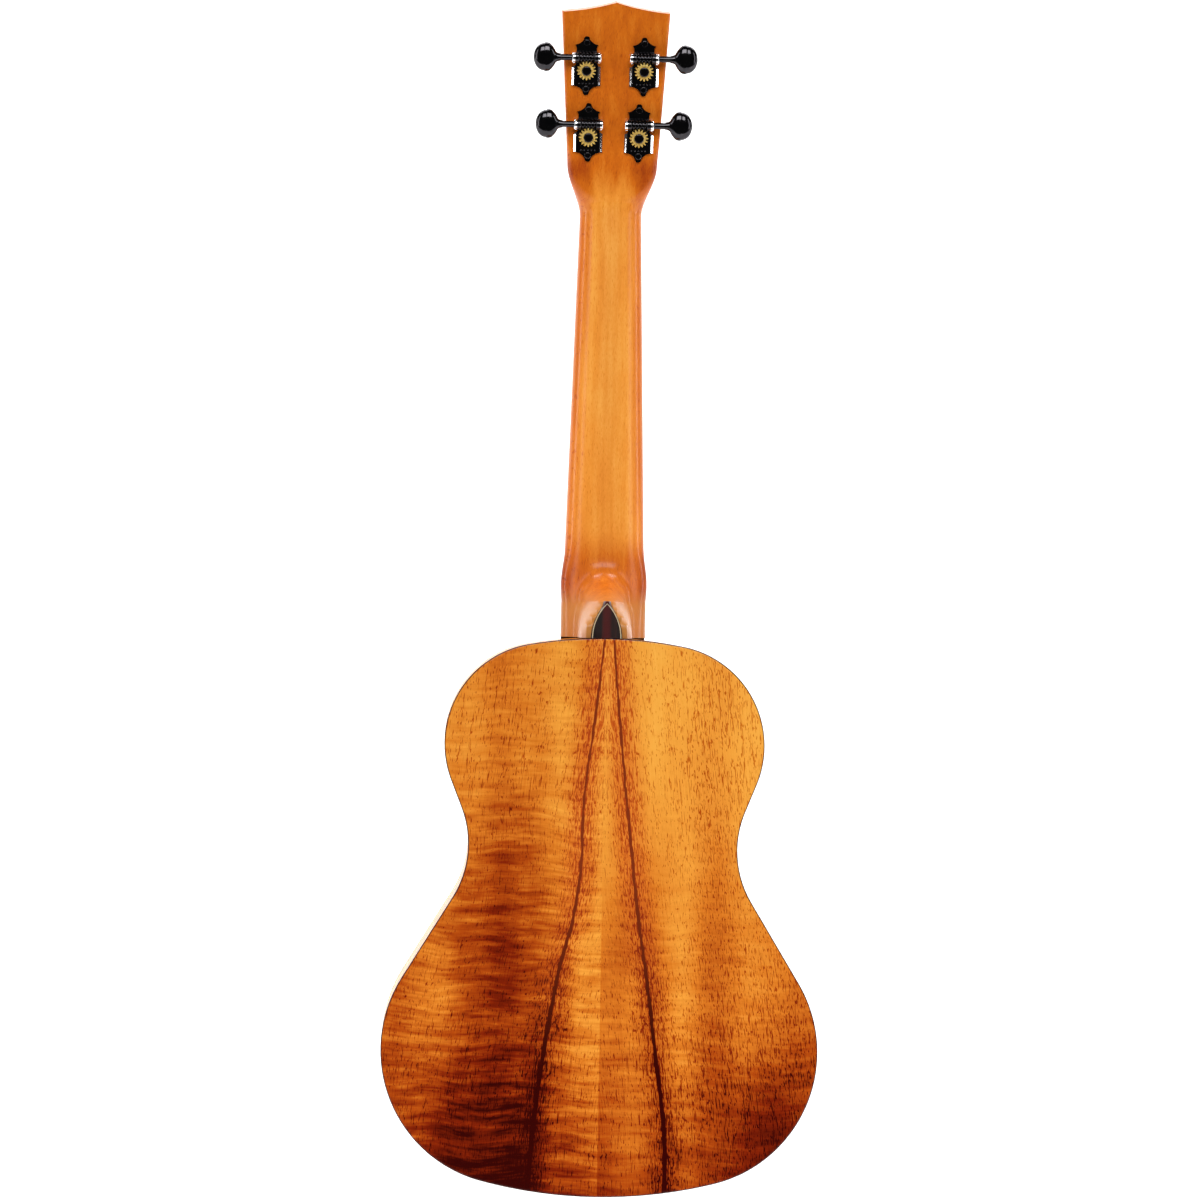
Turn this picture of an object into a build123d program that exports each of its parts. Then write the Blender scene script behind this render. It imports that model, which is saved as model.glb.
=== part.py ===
from build123d import *
import os
from math import asin, atan2, cos, pi, radians, sin, sqrt, tan

# Tenor ukulele with a flat-backed koa body, a carved mahogany neck and four open geared tuners.
# Millimetres. X runs across the instrument, Y points out of the soundboard and Z runs up the neck.
# The origin is the centre of the nut's fretboard side, on the plane where the neck meets the
# fretboard. The soundboard's face lies in that same plane, and the back faces -Y.

# ---- Driving dimensions: strings and neck -------------------------------------------------
SCALE_LENGTH = 431.8          # nut to saddle, before compensation
SADDLE_COMPENSATION = 2.0
BODY_FRET = 14                # the neck meets the body at this fret
FRET_COUNT = 19
NUT_LENGTH = 5.0              # along the neck
NUT_TOP = 7.1
NECK_HALF_AT_NUT = 17.2
NECK_HALF_AT_BODY = 23.5
NECK_DEPTH_AT_NUT = 13.2
NECK_DEPTH_AT_HEEL = 15.0
FRETBOARD_THICKNESS = 5.0
FRETBOARD_OVERHANG = 4.0      # past the last fret

# ---- Driving dimensions: body ------------------------------------------------------------
DEPTH_AT_NECK = 66.0
DEPTH_AT_TAIL = 74.0
TOP_THICKNESS = 2.0
BACK_THICKNESS = 2.4
SIDE_THICKNESS = 2.0
EDGE_ROUND = 0.9
TAIL_RADIUS, TAIL_SWEEP = 259.0, radians(14.3)
LOWER_BOUT_RADIUS, LOWER_BOUT_SWEEP = 73.8, radians(107.1)
LOWER_FLANK = 51.6
WAIST_RADIUS, WAIST_SWEEP = 55.0, radians(53.2)
UPPER_FLANK = 16.4
UPPER_BOUT_RADIUS = 55.3
SHOULDER_RADIUS = 233.0
LINING_WIDTH, LINING_HEIGHT = 5.0, 9.0
SOUND_HOLE_RADIUS = 31.0
SOUND_HOLE_FROM_NECK = 96.0
ROSETTE_INNER, ROSETTE_OUTER, ROSETTE_DEPTH = 35.5, 40.5, 0.9

# ---- Driving dimensions: headstock and tuners --------------------------------------------
HEAD_TILT = radians(12.0)
HEAD_THICKNESS = 12.0         # without the front veneer
VENEER = 2.0
HEAD_APEX, HEAD_CORNER = 112.8, 107.3        # distances up the headstock's face from the nut
HEAD_HALF_AT_CORNER, HEAD_HALF_AT_FLARE = 30.1, 25.2
HEAD_FOOT = 22.0              # where the flare ends and the flat headstock begins
HEAD_EDGE_BEVEL = 1.2
CROWN_SAG = 0.9               # how far each half of the crown dips below its chord
FLARE_START = -4.0
TUNER_PLACES = {              # tuner name: (across, up the headstock, side that the knob is on)
    "g": (14.1, 38.3, 1),
    "c": (16.0, 75.3, 1),
    "e": (-16.0, 75.3, -1),
    "a": (-14.1, 38.3, -1),
}
GEAR_TEETH = 16
GEAR_MODULE = 10.5 / (GEAR_TEETH + 2)
PRESSURE_ANGLE = radians(20)
WORM_TO_POST = 7.2
WORM_HEIGHT = 4.6             # worm axis above the headstock's back
WORM_LENGTH = 8.0
TOOTH_GAP = 0.08              # backlash taken off each flank of the gear
SHAFT_RADIUS = 1.8
RUNNING_GAP = 0.05
PLATE_THICKNESS = 1.2
GEAR_THICKNESS = 2.6
KNOB_REACH = 23.2             # post to the middle of the knob
KNOB_HALF_SIZES = (6.35, 7.7, 3.6)
POST_RADIUS = 3.0
POST_WAIST_RADIUS = 2.3
POST_TIP_RADIUS = 2.0
POST_HEIGHT = 11.5            # above the veneer
COIL_HEIGHT = 6.0             # middle of the string's coil above the veneer
COIL_TURNS = 3
BUSHING_RADIUS = 4.4
SCREW_PLACES = (15.2, -10.4)  # along the plate from the post

# ---- Driving dimensions: strings ---------------------------------------------------------
STRING_RADII = {"g": 0.33, "c": 0.45, "e": 0.37, "a": 0.31}
STRING_PLACES = {"g": 1.5, "c": 0.5, "e": -0.5, "a": -1.5}   # in string spacings from the centre
NUT_SPACING, SADDLE_SPACING = 9.3, 14.0
STRING_BASE_AT_NUT, STRING_BASE_AT_SADDLE = 6.6, 10.6
BRIDGE_LENGTH, BRIDGE_WIDTH, BRIDGE_HEIGHT = 92.0, 24.0, 8.0
BRIDGE_WING_HEIGHT, BRIDGE_BLOCK_LENGTH = 3.5, 64.0
SADDLE_THICKNESS, SADDLE_LENGTH = 2.5, 60.0
BRIDGE_FRONT_TO_SADDLE = 5.5
TIE_HOLE_HEIGHT = 5.6

BIG = 1000.0
PAST_BACK, WELL_PAST_BACK = 90.0, 100.0     # depths beyond the back's face, to cut from


def fret_distance(fret):
    """Distance from the nut to a fret of the equal-tempered scale."""
    return SCALE_LENGTH * (1 - 2 ** (-fret / 12))


def left_of(heading):
    """Unit vector to the left of a heading in the outline's plane."""
    return Vector(-sin(heading), cos(heading))


def half_outline(inset=0.0, tail=0.0):
    """Right half of the body's outline as tangent edges, from the tail's centre to the neck's."""
    edges = []
    point, heading = Vector(0, tail + inset), 0.0

    def arc(radius, sweep):
        nonlocal point, heading
        turn = 1 if sweep > 0 else -1
        radius -= turn * inset
        centre = point + left_of(heading) * turn * radius
        ends = [centre - left_of(heading + sweep * share) * turn * radius for share in (0.5, 1)]
        edges.append(ThreePointArc(point, *ends))
        point, heading = ends[1], heading + sweep

    def straight(length):
        nonlocal point
        end = point + Vector(cos(heading), sin(heading)) * length
        edges.append(Line(point, end))
        point = end

    arc(TAIL_RADIUS, TAIL_SWEEP)
    arc(LOWER_BOUT_RADIUS, LOWER_BOUT_SWEEP)
    straight(LOWER_FLANK)
    arc(WAIST_RADIUS, -WAIST_SWEEP)
    straight(UPPER_FLANK)
    bout_centre = point + left_of(heading) * (UPPER_BOUT_RADIUS - inset)
    shoulder_sweep = asin(bout_centre.X / (SHOULDER_RADIUS - UPPER_BOUT_RADIUS))
    arc(UPPER_BOUT_RADIUS, pi - shoulder_sweep - heading)
    arc(SHOULDER_RADIUS, shoulder_sweep)
    return edges


# ---- Places worked out from the driving dimensions ---------------------------------------
BODY_LENGTH = (half_outline()[-1] @ 1).Y
JOINT_Z = -fret_distance(BODY_FRET)
TAIL_Z = JOINT_Z - BODY_LENGTH
SOUND_HOLE_Z = JOINT_Z - SOUND_HOLE_FROM_NECK
SADDLE_Z = -SCALE_LENGTH - SADDLE_COMPENSATION
FRETBOARD_END_Z = -fret_distance(FRET_COUNT) - FRETBOARD_OVERHANG
BACK_TAPER = atan2(DEPTH_AT_TAIL - DEPTH_AT_NECK, BODY_LENGTH)
BACK_OUT = Vector(0, -cos(BACK_TAPER), sin(BACK_TAPER))
BACK_FACE = Plane((0, -DEPTH_AT_NECK, JOINT_Z), x_dir=(1, 0, 0), z_dir=BACK_OUT)
HEAD_UP = Vector(0, -sin(HEAD_TILT), cos(HEAD_TILT))
HEAD_OUT = Vector(0, cos(HEAD_TILT), sin(HEAD_TILT))
HEAD_START = Vector(0, 0, NUT_LENGTH)
FLARE_END = NUT_LENGTH + HEAD_FOOT * cos(HEAD_TILT)
HEAD_FRONT = Plane(HEAD_START, x_dir=(-1, 0, 0), z_dir=HEAD_OUT)
HEAD_BACK = Plane(HEAD_START - HEAD_OUT * (VENEER + HEAD_THICKNESS), x_dir=(1, 0, 0), z_dir=-HEAD_OUT)
GEAR_PITCH_RADIUS = GEAR_MODULE * GEAR_TEETH / 2
WORM_PITCH_RADIUS = WORM_TO_POST - GEAR_PITCH_RADIUS
WORM_LEAD = pi * GEAR_MODULE


# ---- Shared shapes -----------------------------------------------------------------------
def outline_face(inset):
    """The whole outline, moved in by inset, as a face in X and Z at the soundboard's plane."""
    right = half_outline(inset, TAIL_Z)
    left = [edge.mirror(Plane.YZ) for edge in right]
    return Plane.XZ * make_face(right + left)


def body_prism(inset, front, back):
    """The outline between two distances behind the soundboard's face."""
    face = Pos(0, -front, 0) * outline_face(inset)
    return extrude(face, back - front, dir=(0, -1, 0))


def back_layer(outer, inner):
    """The slab between two depths under the back's outer face."""
    return BACK_FACE * Pos(0, 0, -(outer + inner) / 2) * Box(BIG, BIG, inner - outer)


def half_of(shape, side):
    """The part of a shape on the +X side (1) or the -X side (-1) of the centre plane."""
    return shape & (Pos(side * BIG / 2, 0, 0) * Box(BIG, BIG, 2 * BIG))


def block(x, y, z):
    """A box given by its (low, high) limits on each axis."""
    size = [high - low for low, high in (x, y, z)]
    centre = [(high + low) / 2 for low, high in (x, y, z)]
    return Pos(*centre) * Box(*size)


def rod(radius, low, high, lean=(0, 0, 0)):
    """A cylinder along Z between two heights, then turned by lean."""
    return Rot(*lean) * Pos(0, 0, (low + high) / 2) * Cylinder(radius, high - low)


INSIDE_BODY = body_prism(SIDE_THICKNESS, TOP_THICKNESS, PAST_BACK) & back_layer(BACK_THICKNESS, BIG)

# ---- Body shell --------------------------------------------------------------------------
parts = {}


def rounded_plate(plate, out):
    """Rounds the outer rim of a plate whose outer face looks along out."""
    face = max(plate.faces(), key=lambda f: f.normal_at().dot(out))
    return fillet(face.outer_wire().edges(), EDGE_ROUND)


def make_back():
    plate = body_prism(0, 0, PAST_BACK) & back_layer(0, BACK_THICKNESS)
    plate = rounded_plate(plate, BACK_OUT)
    parts["back_bass_half"] = half_of(plate, 1)
    parts["back_treble_half"] = half_of(plate, -1)


def make_soundboard():
    plate = rounded_plate(body_prism(0, 0, TOP_THICKNESS), Vector(0, 1, 0))
    hole_axis = Pos(0, 0, SOUND_HOLE_Z) * Rot(90, 0, 0)
    ring = Cylinder(ROSETTE_OUTER, ROSETTE_DEPTH) - Cylinder(ROSETTE_INNER, ROSETTE_DEPTH)
    rosette = hole_axis * Pos(0, 0, ROSETTE_DEPTH / 2) * ring
    plate -= hole_axis * Cylinder(SOUND_HOLE_RADIUS, 3 * TOP_THICKNESS)
    parts["rosette"] = rosette
    return plate - rosette


def make_sides():
    shell = body_prism(0, TOP_THICKNESS, PAST_BACK) - body_prism(SIDE_THICKNESS, 0, WELL_PAST_BACK)
    shell = (shell & back_layer(BACK_THICKNESS, BIG)) - TENON
    parts["side_bass"] = half_of(shell, 1)
    parts["side_treble"] = half_of(shell, -1)


# ---- Blocks, linings and braces inside the body ------------------------------------------
NECK_BLOCK_HALF, NECK_BLOCK_LENGTH = 28.0, 22.0
TAIL_BLOCK_HALF, TAIL_BLOCK_LENGTH = 32.0, 14.0
NECK_BLOCK_END_Z = JOINT_Z - NECK_BLOCK_LENGTH
TAIL_BLOCK_END_Z = TAIL_Z + TAIL_BLOCK_LENGTH
TENON_HALF, TENON_LENGTH, TENON_DEPTH, TENON_ROOT = 9.0, 15.0, 46.0, 5.0
TENON = block(
    (-TENON_HALF, TENON_HALF),
    (-TENON_DEPTH, -TOP_THICKNESS),
    (JOINT_Z - TENON_LENGTH, JOINT_Z + TENON_ROOT),
)
BLOCKS = {
    "neck_block": block((-NECK_BLOCK_HALF, NECK_BLOCK_HALF), (-PAST_BACK, 0), (NECK_BLOCK_END_Z, JOINT_Z)),
    "tail_block": block((-TAIL_BLOCK_HALF, TAIL_BLOCK_HALF), (-PAST_BACK, 0), (TAIL_Z, TAIL_BLOCK_END_Z)),
}


def make_blocks_and_linings():
    blocks = BLOCKS["neck_block"] + BLOCKS["tail_block"]
    parts["neck_block"] = (INSIDE_BODY & BLOCKS["neck_block"]) - TENON
    parts["tail_block"] = INSIDE_BODY & BLOCKS["tail_block"]
    strip = INSIDE_BODY - body_prism(SIDE_THICKNESS + LINING_WIDTH, 0, WELL_PAST_BACK) - blocks
    front_zone = block((-BIG, BIG), (-TOP_THICKNESS - LINING_HEIGHT, 0), (-BIG, BIG))
    parts["soundboard_lining"] = strip & front_zone
    parts["back_lining"] = strip & back_layer(BACK_THICKNESS, BACK_THICKNESS + LINING_HEIGHT)


BRIDGE_FRONT_Z = SADDLE_Z + BRIDGE_FRONT_TO_SADDLE
BRIDGE_MIDDLE_Z = BRIDGE_FRONT_Z - BRIDGE_WIDTH / 2
BRIDGE_PLATE_THICKNESS, BRIDGE_PLATE_HALF, BRIDGE_PLATE_HALF_WIDTH = 1.8, 48.0, 14.0
BRACE_HEIGHT, BRACE_WIDTH = 9.0, 7.0
BRACE_GAP = 0.5                            # between a brace's end and the lining
SOUND_HOLE_LOW_Z = SOUND_HOLE_Z - SOUND_HOLE_RADIUS
TOP_BRACES_Z = (JOINT_Z - 47.0, SOUND_HOLE_LOW_Z - 12.0)
BACK_BRACES_Z = (JOINT_Z - 60.0, JOINT_Z - 140.0, JOINT_Z - 225.0)
FAN_BRACE_HEIGHT, FAN_BRACE_WIDTH = 5.5, 5.0
FAN_LOW_Z, FAN_HIGH_Z = TAIL_Z + 28.0, SOUND_HOLE_LOW_Z - 17.0
FAN_SPACING, FAN_SPLAY = 34.0, 7.0         # between neighbours, and the outer two's lean in degrees
SEAM_STRIP_HALF, SEAM_STRIP_THICKNESS = 8.0, 1.6


def brace_span(z):
    """Where a transverse brace centred on a station begins and ends along the body."""
    return z - BRACE_WIDTH / 2, z + BRACE_WIDTH / 2


def make_soundboard_braces(inner):
    """The bridge plate, two transverse braces and three fan braces glued under the soundboard."""
    front = -TOP_THICKNESS
    plate_span = (BRIDGE_MIDDLE_Z - BRIDGE_PLATE_HALF_WIDTH, BRIDGE_MIDDLE_Z + BRIDGE_PLATE_HALF_WIDTH)
    plate_depths = (front - BRIDGE_PLATE_THICKNESS, front)
    plate = block((-BRIDGE_PLATE_HALF, BRIDGE_PLATE_HALF), plate_depths, plate_span)
    parts["bridge_plate"] = plate
    depths = (front - BRACE_HEIGHT, front)
    braces = [block((-BIG, BIG), depths, brace_span(z)) & inner for z in TOP_BRACES_Z]
    fan = Box(FAN_BRACE_WIDTH, FAN_BRACE_HEIGHT, FAN_HIGH_Z - FAN_LOW_Z)
    for place in (-1, 0, 1):
        middle = Pos(FAN_SPACING * place, front - FAN_BRACE_HEIGHT / 2, (FAN_LOW_Z + FAN_HIGH_Z) / 2)
        braces.append((middle * Rot(0, -FAN_SPLAY * place, 0) * fan & inner) - plate)
    parts["soundboard_braces"] = braces


def make_back_braces(inner):
    """Three bars across the back, and the strip that covers its centre seam between them."""
    layer = back_layer(BACK_THICKNESS, BACK_THICKNESS + BRACE_HEIGHT) & inner
    bars = [block((-BIG, BIG), (-PAST_BACK, 0), brace_span(z)) & layer for z in BACK_BRACES_Z]
    parts["back_braces"] = bars
    seam_span = (TAIL_BLOCK_END_Z, NECK_BLOCK_END_Z)
    seam = block((-SEAM_STRIP_HALF, SEAM_STRIP_HALF), (-PAST_BACK, 0), seam_span)
    seam &= back_layer(BACK_THICKNESS, BACK_THICKNESS + SEAM_STRIP_THICKNESS)
    for bar in bars:
        seam -= bar
    parts["back_seam_strip"] = seam


# ---- Neck --------------------------------------------------------------------------------
HEEL_START_Z = JOINT_Z + 54.0
CAP_HALF, CAP_LENGTH = 9.0, 20.0          # the heel cap's pointed arch
CAP_TIP_Z = JOINT_Z + CAP_LENGTH
CAP_ARC_RADIUS = (CAP_HALF**2 + CAP_LENGTH**2) / (2 * CAP_HALF)
KEEL_HALF_AT_TIP, KEEL_HALF_AT_BODY = 7.0, 10.6
KEEL_POWER = 2.5
COVE_SHARE = 0.93                          # how much of a quarter ellipse the heel's cove follows
HEEL_ROUNDING = 3.0                        # how softly the keel runs into the shaft's sides
SHAFT_POWER, HEAD_POWER = 2.15, 9.15       # superellipse powers: a D under the strings, then nearly square
SQUARING_START = -6.0
SECTION_POINTS = 18
BLEND_START = FLARE_START - 6.0
BLEND_STATIONS, BLEND_STEP = 7, 6.5
OVERSHOOT = 3.0                            # stock above the glue plane, planed off at the end


def heel_plane_depth(z):
    """Depth of the back's outer face under the glue plane at a station along the neck."""
    return DEPTH_AT_NECK - (z - JOINT_Z) * tan(BACK_TAPER)


def smooth(share):
    """An S-shaped ramp from 0 to 1."""
    share = min(1.0, max(0.0, share))
    return share * share * (3 - 2 * share)


def neck_half_width(z):
    """Half width of the neck at the glue plane, through the flare to the headstock's foot."""
    flare = smooth((z - FLARE_START) / (FLARE_END - FLARE_START))
    straight = NECK_HALF_AT_NUT + (NECK_HALF_AT_BODY - NECK_HALF_AT_NUT) * max(0.0, -z) / -JOINT_Z
    return straight + (HEAD_HALF_AT_FLARE - NECK_HALF_AT_NUT) * flare


def neck_depth(z):
    """Depth of the neck's back under the glue plane, not counting the heel's keel."""
    if z > 0:
        return (VENEER + HEAD_THICKNESS) / cos(HEAD_TILT) + (z - NUT_LENGTH) * tan(HEAD_TILT)
    return NECK_DEPTH_AT_NUT + (NECK_DEPTH_AT_HEEL - NECK_DEPTH_AT_NUT) * z / JOINT_Z


def superellipse(angle, half, depth, power):
    """Radius of a superellipse in a direction below the glue plane."""
    return ((abs(cos(angle)) / half) ** power + (sin(angle) / depth) ** power) ** (-1 / power)


def keel(z):
    """Half width and depth of the heel's keel, which runs past the back's plane beside the body."""
    if z > CAP_TIP_Z:
        run = (HEEL_START_Z - z) / (HEEL_START_Z - CAP_TIP_Z)
        cove = (1 - sqrt(1 - (COVE_SHARE * run) ** 2)) / (1 - sqrt(1 - COVE_SHARE**2))
        return KEEL_HALF_AT_TIP, heel_plane_depth(CAP_TIP_Z) * cove
    arch = sqrt(CAP_ARC_RADIUS**2 - (z - JOINT_Z) ** 2) - (CAP_ARC_RADIUS - CAP_HALF)
    half = KEEL_HALF_AT_TIP + (KEEL_HALF_AT_BODY - KEEL_HALF_AT_TIP) * arch / CAP_HALF
    return half, heel_plane_depth(z) / (1 - (arch / half) ** KEEL_POWER) ** (1 / KEEL_POWER)


def neck_section(z):
    """Cross-section of the neck: a D under the fretboard that grows a keel towards the body."""
    half, depth = neck_half_width(z), neck_depth(z)
    squaring = smooth((z - SQUARING_START) / (FLARE_END - SQUARING_START)) ** 1.5
    power = SHAFT_POWER + (HEAD_POWER - SHAFT_POWER) * squaring
    points = []
    for step in range(SECTION_POINTS + 1):
        angle = pi * step / SECTION_POINTS
        radius = superellipse(angle, half, depth, power)
        if z < HEEL_START_Z:
            keel_radius = superellipse(angle, *keel(z), KEEL_POWER)
            both = radius**HEEL_ROUNDING + (sin(angle) * keel_radius) ** HEEL_ROUNDING
            radius = both ** (1 / HEEL_ROUNDING)
        points.append((radius * cos(angle), -radius * sin(angle)))
    underside = Spline(points, tangents=((0, -1), (0, 1)))
    stock = Polyline((-half, 0), (-half, OVERSHOOT), (half, OVERSHOOT), (half, 0))
    return Pos(0, 0, z) * make_face([underside, *stock.edges()])


def head_outline():
    """The headstock's outline from just above the flare to its crown."""
    foot, corner = (HEAD_HALF_AT_FLARE, HEAD_FOOT), (HEAD_HALF_AT_CORNER, HEAD_CORNER)
    dip = (HEAD_HALF_AT_CORNER / 2, (HEAD_APEX + HEAD_CORNER) / 2 - CROWN_SAG)
    right = [Line((0, HEAD_FOOT), foot), Line(foot, corner), ThreePointArc(corner, dip, (0, HEAD_APEX))]
    return right + [edge.mirror(Plane.YZ) for edge in right]


def veneer_outline():
    """The whole front of the headstock, from the nut through the flare to the crown."""
    heights = [HEAD_FOOT * step / 6 for step in range(6)]
    flare = [(neck_half_width(NUT_LENGTH + height * cos(HEAD_TILT)), height) for height in heights]
    flare.append((HEAD_HALF_AT_FLARE, HEAD_FOOT))
    right = [Line((0, 0), flare[0]), Spline(flare), *head_outline()[1:3]]
    return right + [edge.mirror(Plane.YZ) for edge in right]


def neck_stock():
    """The carved neck before planing: the heel, the shaft and the blend into the headstock."""
    cove_run = HEEL_START_Z - CAP_TIP_Z
    cove = [HEEL_START_Z - cove_run * sin(pi / 2 * step / 9) for step in range(10)]
    beside_cap = [CAP_TIP_Z - CAP_LENGTH * share for share in (0.08, 0.2, 0.4, 0.6, 0.8, 1.0, 1.15)]
    shaft = [HEEL_START_Z, (HEEL_START_Z + BLEND_START) / 2, BLEND_START]
    blend = [BLEND_START + BLEND_STEP * step for step in range(BLEND_STATIONS)]
    runs = [sorted(cove + beside_cap), shaft, blend]
    return [loft([neck_section(z) for z in run]) for run in runs]


def planed_away():
    """Everything above the glue plane and, past the nut, above the face that takes the veneer."""
    veneer_end = (-VENEER * cos(HEAD_TILT), NUT_LENGTH - VENEER * sin(HEAD_TILT))
    reach = 200.0
    head_end = (veneer_end[0] - reach * sin(HEAD_TILT), veneer_end[1] + reach * cos(HEAD_TILT))
    corners = [(0, -BIG), (0, NUT_LENGTH), veneer_end, head_end, (BIG, head_end[1]), (BIG, -BIG)]
    return extrude(Plane.YZ * make_face(Polyline(*corners, close=True)), BIG / 2, both=True)


def head_slab():
    """The headstock's flat part with its back edges eased."""
    slab = extrude(HEAD_BACK * make_face(head_outline()), HEAD_THICKNESS, dir=HEAD_OUT)
    places = [(edge, HEAD_BACK.to_local_coords(edge.center())) for edge in slab.edges()]
    eased = [edge for edge, place in places if abs(place.Z) < 0.01 and place.Y > HEAD_FOOT + 1]
    return chamfer(eased, HEAD_EDGE_BEVEL)


def make_neck():
    """Cuts the heel cap off the stock, adds the tenon and joins the flat of the headstock."""
    holes = post_holes(POST_HOLE_RADIUS)
    veneer_face = HEAD_FRONT.offset(-VENEER) * make_face(veneer_outline())
    parts["headstock_veneer"] = extrude(veneer_face, VENEER) - holes
    away = planed_away()
    heel, shaft, blend = [piece - away for piece in neck_stock()]
    heel -= body_prism(0, -OVERSHOOT, WELL_PAST_BACK)
    parts["heel_cap"] = heel & back_layer(0, BACK_THICKNESS)
    heel &= back_layer(BACK_THICKNESS, BIG)
    below_foot = HEAD_BACK * Pos(0, HEAD_FOOT - BIG / 2, 0) * Box(BIG, BIG, BIG)
    slab = head_slab() - holes - screw_holes()
    tenon = TENON & body_prism(0, 0, WELL_PAST_BACK)
    parts["neck"] = heel + tenon + shaft + (blend & below_foot) + slab


# ---- Fretboard, frets, nut, saddle and bridge --------------------------------------------
FRET_CROWN_WIDTH, FRET_CROWN_HEIGHT = 2.0, 1.0
FRET_TANG_THICKNESS, FRET_TANG_DEPTH = 0.6, 1.8
DOT_FRETS = (5, 7, 10, 12, 15)
DOT_RADIUS, DOT_DEPTH = 2.5, 1.2
OCTAVE, OCTAVE_DOT_PLACES = 12, (-9.0, 9.0)
NUT_ROUND, SADDLE_ROUND = 1.2, 1.1
SADDLE_ABOVE_STRINGS, SADDLE_SLOT_DEPTH = 0.25, 5.0


def board_half_width(z):
    """Half width of the tapering fretboard at a station."""
    return NECK_HALF_AT_NUT + (NECK_HALF_AT_BODY - NECK_HALF_AT_NUT) * z / JOINT_Z


def make_fretboard():
    outline = [
        (board_half_width(0), 0),
        (board_half_width(FRETBOARD_END_Z), FRETBOARD_END_Z),
        (-board_half_width(FRETBOARD_END_Z), FRETBOARD_END_Z),
        (-board_half_width(0), 0),
    ]
    board = extrude(Plane.XZ * make_face(Polyline(*outline, close=True)), FRETBOARD_THICKNESS, dir=(0, 1, 0))
    frets = [fret_wire(-fret_distance(number)) for number in range(1, FRET_COUNT + 1)]
    parts["frets"] = frets
    for fret in frets:
        board = board - fret
    dots = [dot for number in DOT_FRETS for dot in fret_dots(number)]
    for dot in dots:
        board = board - dot
    parts["position_dots"] = dots
    parts["fretboard"] = board


def fret_wire(z):
    """One fret: a crown with a rounded top on a thin tang."""
    half = board_half_width(z)
    edge = FRET_CROWN_WIDTH / 2
    crown_arc = ThreePointArc((-edge, 0), (0, FRET_CROWN_HEIGHT), (edge, 0))
    crown = make_face([crown_arc, Line((edge, 0), (-edge, 0))])
    tang = Pos(0, -FRET_TANG_DEPTH / 2) * Rectangle(FRET_TANG_THICKNESS, FRET_TANG_DEPTH)
    profile = Plane((-half, FRETBOARD_THICKNESS, z), x_dir=(0, 0, -1), z_dir=(1, 0, 0)) * (crown + tang)
    return extrude(profile, 2 * half, dir=(1, 0, 0))


def fret_dots(number):
    """The dots behind one fret: two at the octave, one elsewhere."""
    z = -(fret_distance(number) + fret_distance(number - 1)) / 2
    places = OCTAVE_DOT_PLACES if number == OCTAVE else (0.0,)
    top = FRETBOARD_THICKNESS - DOT_DEPTH / 2
    return [Pos(x, top, z) * Rot(90, 0, 0) * Cylinder(DOT_RADIUS, DOT_DEPTH) for x in places]


def rounded_top(bar, radius):
    """Rounds the two long edges on the top of a bar that lies across the neck."""
    return fillet(bar.edges().filter_by(Axis.X).group_by(Axis.Y)[-1], radius)


def make_nut_and_saddle():
    half = board_half_width(0)
    parts["nut"] = rounded_top(block((-half, half), (0, NUT_TOP), (0, NUT_LENGTH)), NUT_ROUND)
    saddle_z = (SADDLE_Z - SADDLE_THICKNESS / 2, SADDLE_Z + SADDLE_THICKNESS / 2)
    heights = (BRIDGE_HEIGHT - SADDLE_SLOT_DEPTH, STRING_BASE_AT_SADDLE + SADDLE_ABOVE_STRINGS)
    saddle = block((-SADDLE_LENGTH / 2, SADDLE_LENGTH / 2), heights, saddle_z)
    parts["saddle"] = rounded_top(saddle, SADDLE_ROUND)


BRIDGE_CORNER, BRIDGE_EDGE_ROUND = 5.0, 0.8
TIE_BLOCK_WIDTH = 9.0
SADDLE_SHOULDER = 2.5                      # wood kept behind the saddle
BRIDGE_REAR_Z = BRIDGE_FRONT_Z - BRIDGE_WIDTH
CHANNEL_Z = (BRIDGE_REAR_Z + TIE_BLOCK_WIDTH, SADDLE_Z - SADDLE_THICKNESS / 2 - SADDLE_SHOULDER)


def make_bridge():
    """Tie-block bridge: low wings, a raised saddle block and a channel in front of the tie block."""
    along = (BRIDGE_REAR_Z, BRIDGE_FRONT_Z)
    half, half_block = BRIDGE_LENGTH / 2, BRIDGE_BLOCK_LENGTH / 2
    base = block((-half, half), (0, BRIDGE_WING_HEIGHT), along)
    base = fillet(base.edges().filter_by(Axis.Y), BRIDGE_CORNER)
    raised = block((-half_block, half_block), (0, BRIDGE_HEIGHT), along)
    raised -= block((-BIG, BIG), (BRIDGE_WING_HEIGHT, BIG), CHANNEL_Z)
    raised = fillet(raised.edges().group_by(Axis.Y)[-1], BRIDGE_EDGE_ROUND)
    parts["bridge"] = base + raised - parts["saddle"]


# ---- Tuners ------------------------------------------------------------------------------
# Each tuner is made in the headstock back's own axes: across, up the headstock and out of the
# back, with the post's axis at the origin.
HOUSING_HALF = 8.1
EAR_START = WORM_LENGTH / 2 + RUNNING_GAP
EAR_RADIUS, EAR_ROUND = 3.1, 0.7
EAR_FOOT_WIDTH, EAR_FOOT_INSET = 4.4, 0.8
BORE_RADIUS = SHAFT_RADIUS + RUNNING_GAP
JOURNAL_END, BLIND_BORE_END = 6.6, 6.8     # the shaft's far end, and the hole it turns in
GEAR_BASE = WORM_HEIGHT - GEAR_THICKNESS / 2
GEAR_TOP = WORM_HEIGHT + GEAR_THICKNESS / 2
RAIL_INNER, RAIL_OUTER, RAIL_HEIGHT, RAIL_BEVEL = 6.5, 8.0, 2.4, 1.0
RAIL_SPAN = (-8.3, 1.3)
BEAD_RADIUS, BEAD_SPACING, BEAD_ROW = 0.6, 1.9, -7.4
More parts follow.
